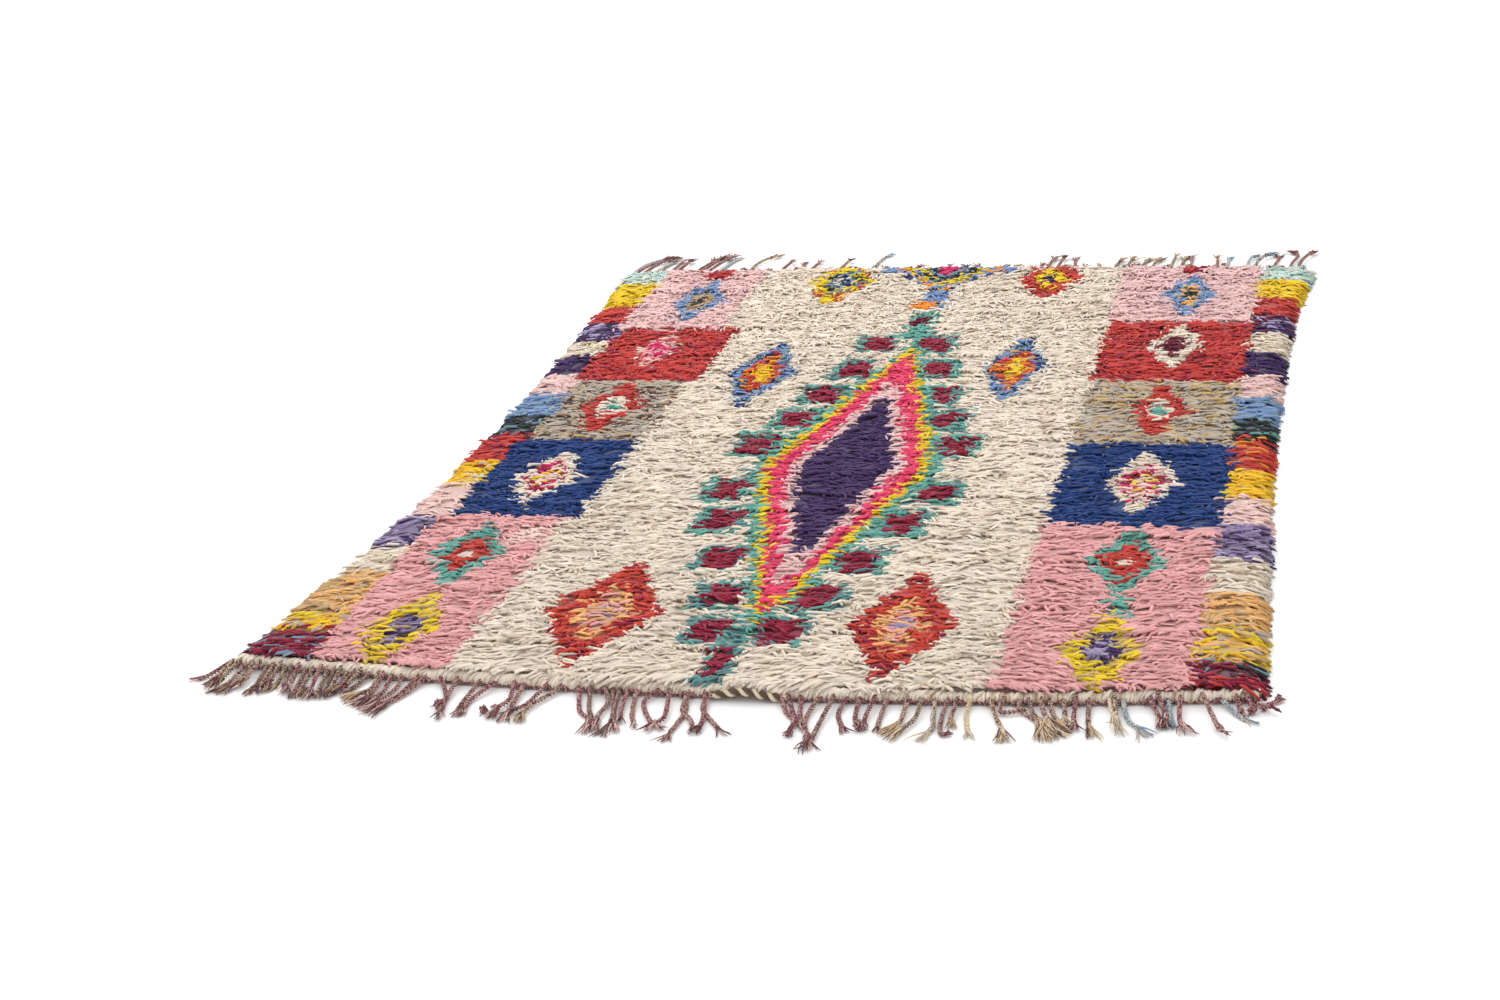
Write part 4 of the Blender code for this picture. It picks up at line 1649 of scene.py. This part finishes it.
# The cord stops within its loose end, after this share of the end's length
UNTWISTED = 0.8


def end_lift(x, outward):
    """How far an end of the cloth stands off the floor: only the front one does."""
    return arch_lift(x) if outward < 0 else 0.0


def cord_path(root, bends, edge, outward, height):
    """A cord's way from under the cloth's edge to the floor and along its bends."""
    x = root * MM
    points = [Vector((x, edge(x) - outward * ROOT_INSIDE, height + ROOT_RISE + end_lift(x, outward)))]
    for aside, ahead in bends:
        points.append(Vector((x + aside * MM, edge(x) + outward * ahead * MM, height)))
    return smooth_path(points, CORD_BENDS)


# The loose strands: more than the tables count, fanned and bent with these spreads, and thin at their tips
STRANDS_SHARE = 1.9
STRAND_FAN = 0.20
STRAND_BEND = 0.12
STRAND_REACH = (0.75, 1.12)
STRAND_STRAY = 0.0016
STRAND_THICKNESS = [1.2, 1.2, 1.0, 0.45]
# Their height as a share of the cord's: least, spread, and how much of the spread is gone at the tip
STRAND_LEAST = 0.5
STRAND_SPREAD = 1.1
STRAND_SINK = 0.4


def add_frayed_end(strands, path, length, count, yarn, dice, height):
    """Loose strands that fan out of a cord's end."""
    start = path[-1]
    back = next((p for p in reversed(path) if (p - start).length > length), path[0])
    aim = (start - back).normalized()
    side = Vector((-aim.y, aim.x, 0))
    for number in range(round(count * STRANDS_SHARE)):
        fan = dice.gauss(0, STRAND_FAN)
        reach = length * dice.uniform(*STRAND_REACH)
        bend = dice.gauss(0, STRAND_BEND)
        way = []
        for step in range(len(STRAND_THICKNESS)):
            share = step / (len(STRAND_THICKNESS) - 1)
            place = back + aim * reach * share + side * reach * (fan * share + bend * share * share)
            place += side * dice.uniform(-STRAND_STRAY, STRAND_STRAY)
            spread = dice.uniform(0.0, STRAND_SPREAD) * (1 - STRAND_SINK * share)
            place.z = height * (STRAND_LEAST + spread)
            way.append(place)
        dye = linear(dice.choice(CORD_YARNS[yarn].ends.split()))
        strands.add(way, dye, dye, dice.random(), STRAND_THICKNESS)


KNOT_TURNS = 3.2
KNOT_STEPS = 36
KNOT_FLATNESS = 0.9
KNOT_END = 0.05


def add_knot(plies, knot, edge, outward, dice):
    """A small knot tied in the cords: one cord wound into a ball that lies on the floor."""
    across, ahead, width, yarn = knot
    radius = width * MM / 2 - CORD_PLY_RADIUS
    x = across * MM
    middle = Vector((x, edge(x) + outward * ahead * MM, radius + CORD_PLY_RADIUS))
    spin = dice.uniform(0, math.pi)
    way = []
    for step in range(KNOT_STEPS + 1):
        share = step / KNOT_STEPS
        angle = 2 * math.pi * KNOT_TURNS * share + spin
        rise = 2 * share - 1
        ring = radius * math.sqrt(max(KNOT_END, 1 - rise * rise))
        seat = Vector((ring * math.cos(angle), radius * rise * KNOT_FLATNESS, ring * math.sin(angle)))
        way.append(middle + seat)
    dye, fleck = linear(CORD_YARNS[yarn].plies.split()[0]), linear(CORD_YARNS[yarn].fleck)
    plies.add(way, dye, fleck, dice.random(), [1.0] * len(way))


# A root's loop in millimetres: aside, ahead of the edge, and up
ROOT_LOOP = [(-4.0, 0.5, 2.0), (-2.5, 2.6, 6.5), (1.0, 3.0, 8.2), (3.5, 2.6, 5.5), (4.0, 1.5, 2.0)]
LOOP_CHANCE = 0.7
LOOP_BENDS = 3
LOOP_THICKNESS = 0.75


def add_root_loop(plies, x, edge, outward, dice):
    """The half hitch that holds a cord's root to the edge, seen as a small loop."""
    side = dice.choice((-1, 1))
    way = []
    for aside, ahead, up in ROOT_LOOP:
        height = up * MM + end_lift(x, outward)
        way.append(Vector((x + side * aside * MM, edge(x) + outward * ahead * MM, height)))
    path = smooth_path(way, LOOP_BENDS)
    plies.add(path, linear("burgundy"), linear("dusty"), dice.random(), [LOOP_THICKNESS] * len(path))


def build_fringe(name, cords, knots, edge, outward, seed, node, settings=CORD_SETTINGS):
    """All the cords of one end, with their loose ends and knots."""
    dice = random.Random(seed)
    plies, strands = Lines(), Lines()
    for number, (root, bends, yarn, end, count) in enumerate(cords):
        layered = 1 if abs(root) > CORNER_FROM or outward > 0 else MIDDLE_LAYER
        height = CORD_HEIGHT + CORD_LAYER * (number % CORD_LAYERS) * layered
        path = cord_path(root, bends, edge, outward, height)
        left = end * MM * UNTWISTED
        shown = list(path)
        while len(shown) > 3 and left > 0:
            left -= (shown[-1] - shown[-2]).length
            shown.pop()
        dye, fleck = linear(dice.choice(CORD_YARNS[yarn].plies.split())), linear(CORD_YARNS[yarn].fleck)
        plies.add(shown, dye, fleck, dice.random(), [1.0] * len(shown))
        add_frayed_end(strands, path, end * MM, count, yarn, dice, height)
        if dice.random() < LOOP_CHANCE:
            add_root_loop(plies, root * MM, edge, outward, dice)
    for knot in knots:
        add_knot(plies, knot, edge, outward, dice)
    for piece in (plies.grow(name + "_cords", settings), strands.grow(name + "_loose_ends", STRAND_SETTINGS)):
        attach(piece, "root")
        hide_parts(node)


build_fringe("front_fringe", FRONT_CORDS, FRONT_KNOTS, front_edge, -1, 31, "front_fringe")


# The back fringe
# The same cords at the far end. Most hide behind the pile, so their places follow a rule; the longer ones,
# whose tips show over it, lie where they fell.

# The longer cords, with the columns of the front's table
LONG_BACK_CORDS = [
    (-556, [(-3, 60), (8, 104), (48, 150)], "slate", 26, 5),
    (-549, [(0, 62), (24, 108), (52, 132)], "rose", 26, 8),
    (-534, [(2, 60), (22, 142)], "rose", 34, 10),
    (-520, [(3, 60), (22, 124)], "slate", 24, 6),
    (-492, [(0, 60), (4, 122)], "burgundy", 26, 8),
    (-480, [(2, 60), (6, 116)], "rose", 24, 8),
    (-452, [(5, 60), (22, 138)], "burgundy", 34, 10),
    (-440, [(5, 60), (20, 146)], "rose", 34, 10),
    (-424, [(4, 60), (22, 148)], "burgundy", 36, 10),
    (-410, [(4, 60), (18, 140)], "slate", 30, 8),
    (-348, [(-6, 60), (4, 100), (32, 140)], "brown", 30, 7),
    (-296, [(0, 50), (6, 94)], "rose", 20, 6),
    (-270, [(2, 50), (-4, 92)], "rose", 20, 6),
    (-248, [(0, 50), (6, 96)], "burgundy", 20, 6),
    (-196, [(0, 50), (6, 98)], "brown", 20, 6),
    (-144, [(0, 60), (5, 100), (16, 140)], "slate", 28, 4),
    (150, [(0, 50), (6, 102)], "brown", 26, 8),
    (168, [(0, 50), (4, 106)], "rose", 24, 8),
    (190, [(2, 50), (-4, 102)], "crimson", 26, 8),
    (262, [(0, 50), (10, 98)], "tan", 28, 9),
    (282, [(0, 50), (8, 106)], "tan", 30, 10),
    (304, [(0, 50), (10, 108)], "tan", 30, 10),
    (322, [(0, 50), (12, 106)], "tan", 30, 10),
    (352, [(0, 50), (4, 114)], "tan", 28, 8),
    (366, [(0, 50), (5, 118)], "tan", 26, 8),
    (382, [(0, 50), (-3, 116)], "rose", 24, 6),
    (424, [(0, 50), (-4, 108)], "tan", 22, 8),
    (440, [(0, 50), (2, 116)], "slate", 22, 8),
    (470, [(2, 50), (6, 90), (20, 110)], "slate", 22, 6),
    (486, [(0, 50), (12, 96), (30, 116)], "slate", 26, 6),
    (512, [(2, 50), (8, 92), (6, 124)], "crimson", 26, 8),
    (540, [(2, 60), (10, 104), (-2, 138)], "crimson", 26, 9),
    (553, [(3, 60), (12, 98), (28, 136)], "rose", 24, 9),
]


# The shorter cords, by rule, in millimetres: from where to where, how far apart, and how each is bent
BACK_FROM = -545
BACK_TO = 570
BACK_SPACING = 15
BACK_STEP = (0.8, 1.4)
BACK_LEAN = 10
BACK_LEAN_PATCH = 100
BACK_STRAY = 6
BACK_REACH = (42, 58)
BACK_ENDS = (18, 28)
BACK_STRANDS = 5
BACK_YARNS = ["rose", "brown", "rose", "burgundy", "tan", "slate", "rose", "crimson"]


def back_cords():
    """The longer cords, and the shorter ones all along the end, each bent a little its own way."""
    dice = random.Random(41)
    cords = list(LONG_BACK_CORDS)
    root = BACK_FROM
    while root < BACK_TO:
        patch = noise.noise(Vector((root / BACK_LEAN_PATCH, 0, 5)))
        lean = BACK_LEAN * patch + dice.uniform(-BACK_STRAY, BACK_STRAY)
        reach = dice.uniform(*BACK_REACH)
        bends = [(lean * 0.5, reach * 0.5), (lean * 1.5 + dice.uniform(-BACK_STRAY, BACK_STRAY), reach)]
        cords.append((root, bends, dice.choice(BACK_YARNS), dice.uniform(*BACK_ENDS), BACK_STRANDS))
        root += BACK_SPACING * dice.uniform(*BACK_STEP)
    return cords


BACK_SETTINGS = {**CORD_SETTINGS, "Ply sides": 4, "Step": 0.0024}
build_fringe("back_fringe", back_cords(), [], back_edge, 1, 32, "back_fringe", BACK_SETTINGS)


# The twining
# A row of burgundy yarn twisted round the warp along both ends, under the band, keeps the last weft from
# slipping. Where the cords are missing a thicker row of brown and cream holds the edge.

TWINING_SETTINGS = {**CORD_SETTINGS, "Ply sides": 4, "Twist length": 0.0125, "Step": 0.0026}
TWINING_REACH = CLOTH_WIDTH * 0.492
TWINING_STEP = 0.008
TWINING_INSIDE = 0.0005
TWINING_HEIGHT = 0.0028
TWINING_THICKNESS = 0.6
TWINING_SHADE = 0.4


def build_twining(name, edge, outward, node):
    """One row of twining along an end."""
    line = Lines()
    count = round(2 * TWINING_REACH / TWINING_STEP)
    path = []
    for number in range(count + 1):
        x = -TWINING_REACH + number / count * 2 * TWINING_REACH
        height = TWINING_HEIGHT + end_lift(x, outward)
        path.append(Vector((x, edge(x) - outward * TWINING_INSIDE, height)))
    line.add(path, linear("burgundy"), linear("dusty"), TWINING_SHADE, [TWINING_THICKNESS] * len(path))
    piece = line.grow(name, TWINING_SETTINGS)
    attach(piece, "root")
    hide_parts(node)


ARCH_PLIES = [
    {"yarn": "umber", "radius": 0.0031, "phase": 0.0},
    {"yarn": "beige", "radius": 0.0024, "phase": math.pi},
]
ARCH_PLY_OFFSET = 0.0025
ARCH_TWIST = 0.0160
ARCH_SHIFT = 0.008
ARCH_STEPS = 70
# The twist opens from this share at its ends to the whole in its middle
ARCH_TAPER = 0.55
ARCH_TAPER_POWER = 0.3
ARCH_AHEAD = 0.0030
ARCH_SHADE = 0.6
ARCH_SETTINGS = {**STRAND_SETTINGS, "Ply sides": 7, "Step": 0.0015}


def build_arch_stitches():
    """Two thick plies, brown and cream, twisted along the bare arch."""
    line = Lines()
    for ply in ARCH_PLIES:
        path = []
        for number in range(ARCH_STEPS + 1):
            offset = 2 * number / ARCH_STEPS - 1
            x = ARCH_X + ARCH_SHIFT + ARCH_HALF_WIDTH * offset
            around = 2 * math.pi * (x - ARCH_X) / ARCH_TWIST + ply["phase"]
            taper = ARCH_TAPER + (1 - ARCH_TAPER) * bump_shape(offset) ** ARCH_TAPER_POWER
            seat = Vector((0, math.cos(around), math.sin(around))) * ARCH_PLY_OFFSET * taper
            rest = ply["radius"] + ARCH_PLY_OFFSET + CORD_LOWEST + arch_lift(x)
            path.append(Vector((x, front_edge(x) - ARCH_AHEAD, rest)) + seat)
        dye = linear(ply["yarn"])
        line.add(path, dye, dye, ARCH_SHADE, [ply["radius"] / STRAND_RADIUS] * len(path))
    piece = line.grow("arch_stitches", ARCH_SETTINGS)
    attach(piece, "root")
    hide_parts("front_fringe")


build_twining("front_twining", front_edge, -1, "front_fringe")
build_twining("back_twining", back_edge, 1, "back_fringe")
build_arch_stitches()


# The stage
# A plain pale floor, soft light from above, and the camera at the photograph's place.

FLOOR_SIZE = 30
FLOOR_UNDER = 0.0002
FLOOR_GREY = 0.93
FLOOR_ROUGHNESS = 0.9
WORLD_LIGHT = 1.15
KEY_PLACE = Vector((-1.2, 1.8, 2.6))
KEY_SIZE = 2.0
KEY_POWER = 45

bpy.ops.mesh.primitive_plane_add(size=FLOOR_SIZE, location=(0, 0, -FLOOR_UNDER))
floor = bpy.context.object
floor.name = "floor"
floor_finish, graph = shader_graph("floor_finish")
plain = {"Base Color": (FLOOR_GREY, FLOOR_GREY, FLOOR_GREY, 1), "Roughness": FLOOR_ROUGHNESS}
shader = graph.add("ShaderNodeBsdfPrincipled", values=plain)
graph.add("ShaderNodeOutputMaterial", values={"Surface": shader})
floor.data.materials.append(floor_finish)

world = bpy.data.worlds.new("studio")
bpy.context.scene.world = world
world.use_nodes = True
sky = world.node_tree.nodes["Background"]
sky.inputs["Color"].default_value = (1.0, 1.0, 1.0, 1.0)
sky.inputs["Strength"].default_value = WORLD_LIGHT

key = bpy.data.lights.new("key", "AREA")
key.shape = "SQUARE"
key.size = KEY_SIZE
key.energy = KEY_POWER
key_lamp = bpy.data.objects.new("key", key)
key_lamp.location = KEY_PLACE
key_lamp.rotation_euler = (-KEY_PLACE).to_track_quat("-Z", "Y").to_euler()
bpy.context.scene.collection.objects.link(key_lamp)

CAMERA_PLACE = Vector((0.6977, -3.1168, 1.1474))
CAMERA_YAW = math.radians(-15.452)
CAMERA_PITCH = math.radians(20.933)
CAMERA_ROLL = math.radians(4.785)
CAMERA_LENS = 59.62
CAMERA_SENSOR = 36
CAMERA_SIGHT = 100

camera = bpy.data.cameras.new("camera")
camera.sensor_width = CAMERA_SENSOR
camera.lens = CAMERA_LENS
camera.clip_end = CAMERA_SIGHT
eye = bpy.data.objects.new("camera", camera)
eye.location = CAMERA_PLACE
turn = Matrix.Rotation(-CAMERA_YAW, 3, "Z") @ Matrix.Rotation(math.pi / 2 - CAMERA_PITCH, 3, "X")
eye.rotation_euler = (turn @ Matrix.Rotation(-CAMERA_ROLL, 3, "Z")).to_euler()
bpy.context.scene.collection.objects.link(eye)
bpy.context.scene.camera = eye
bpy.context.scene.view_settings.view_transform = "Standard"
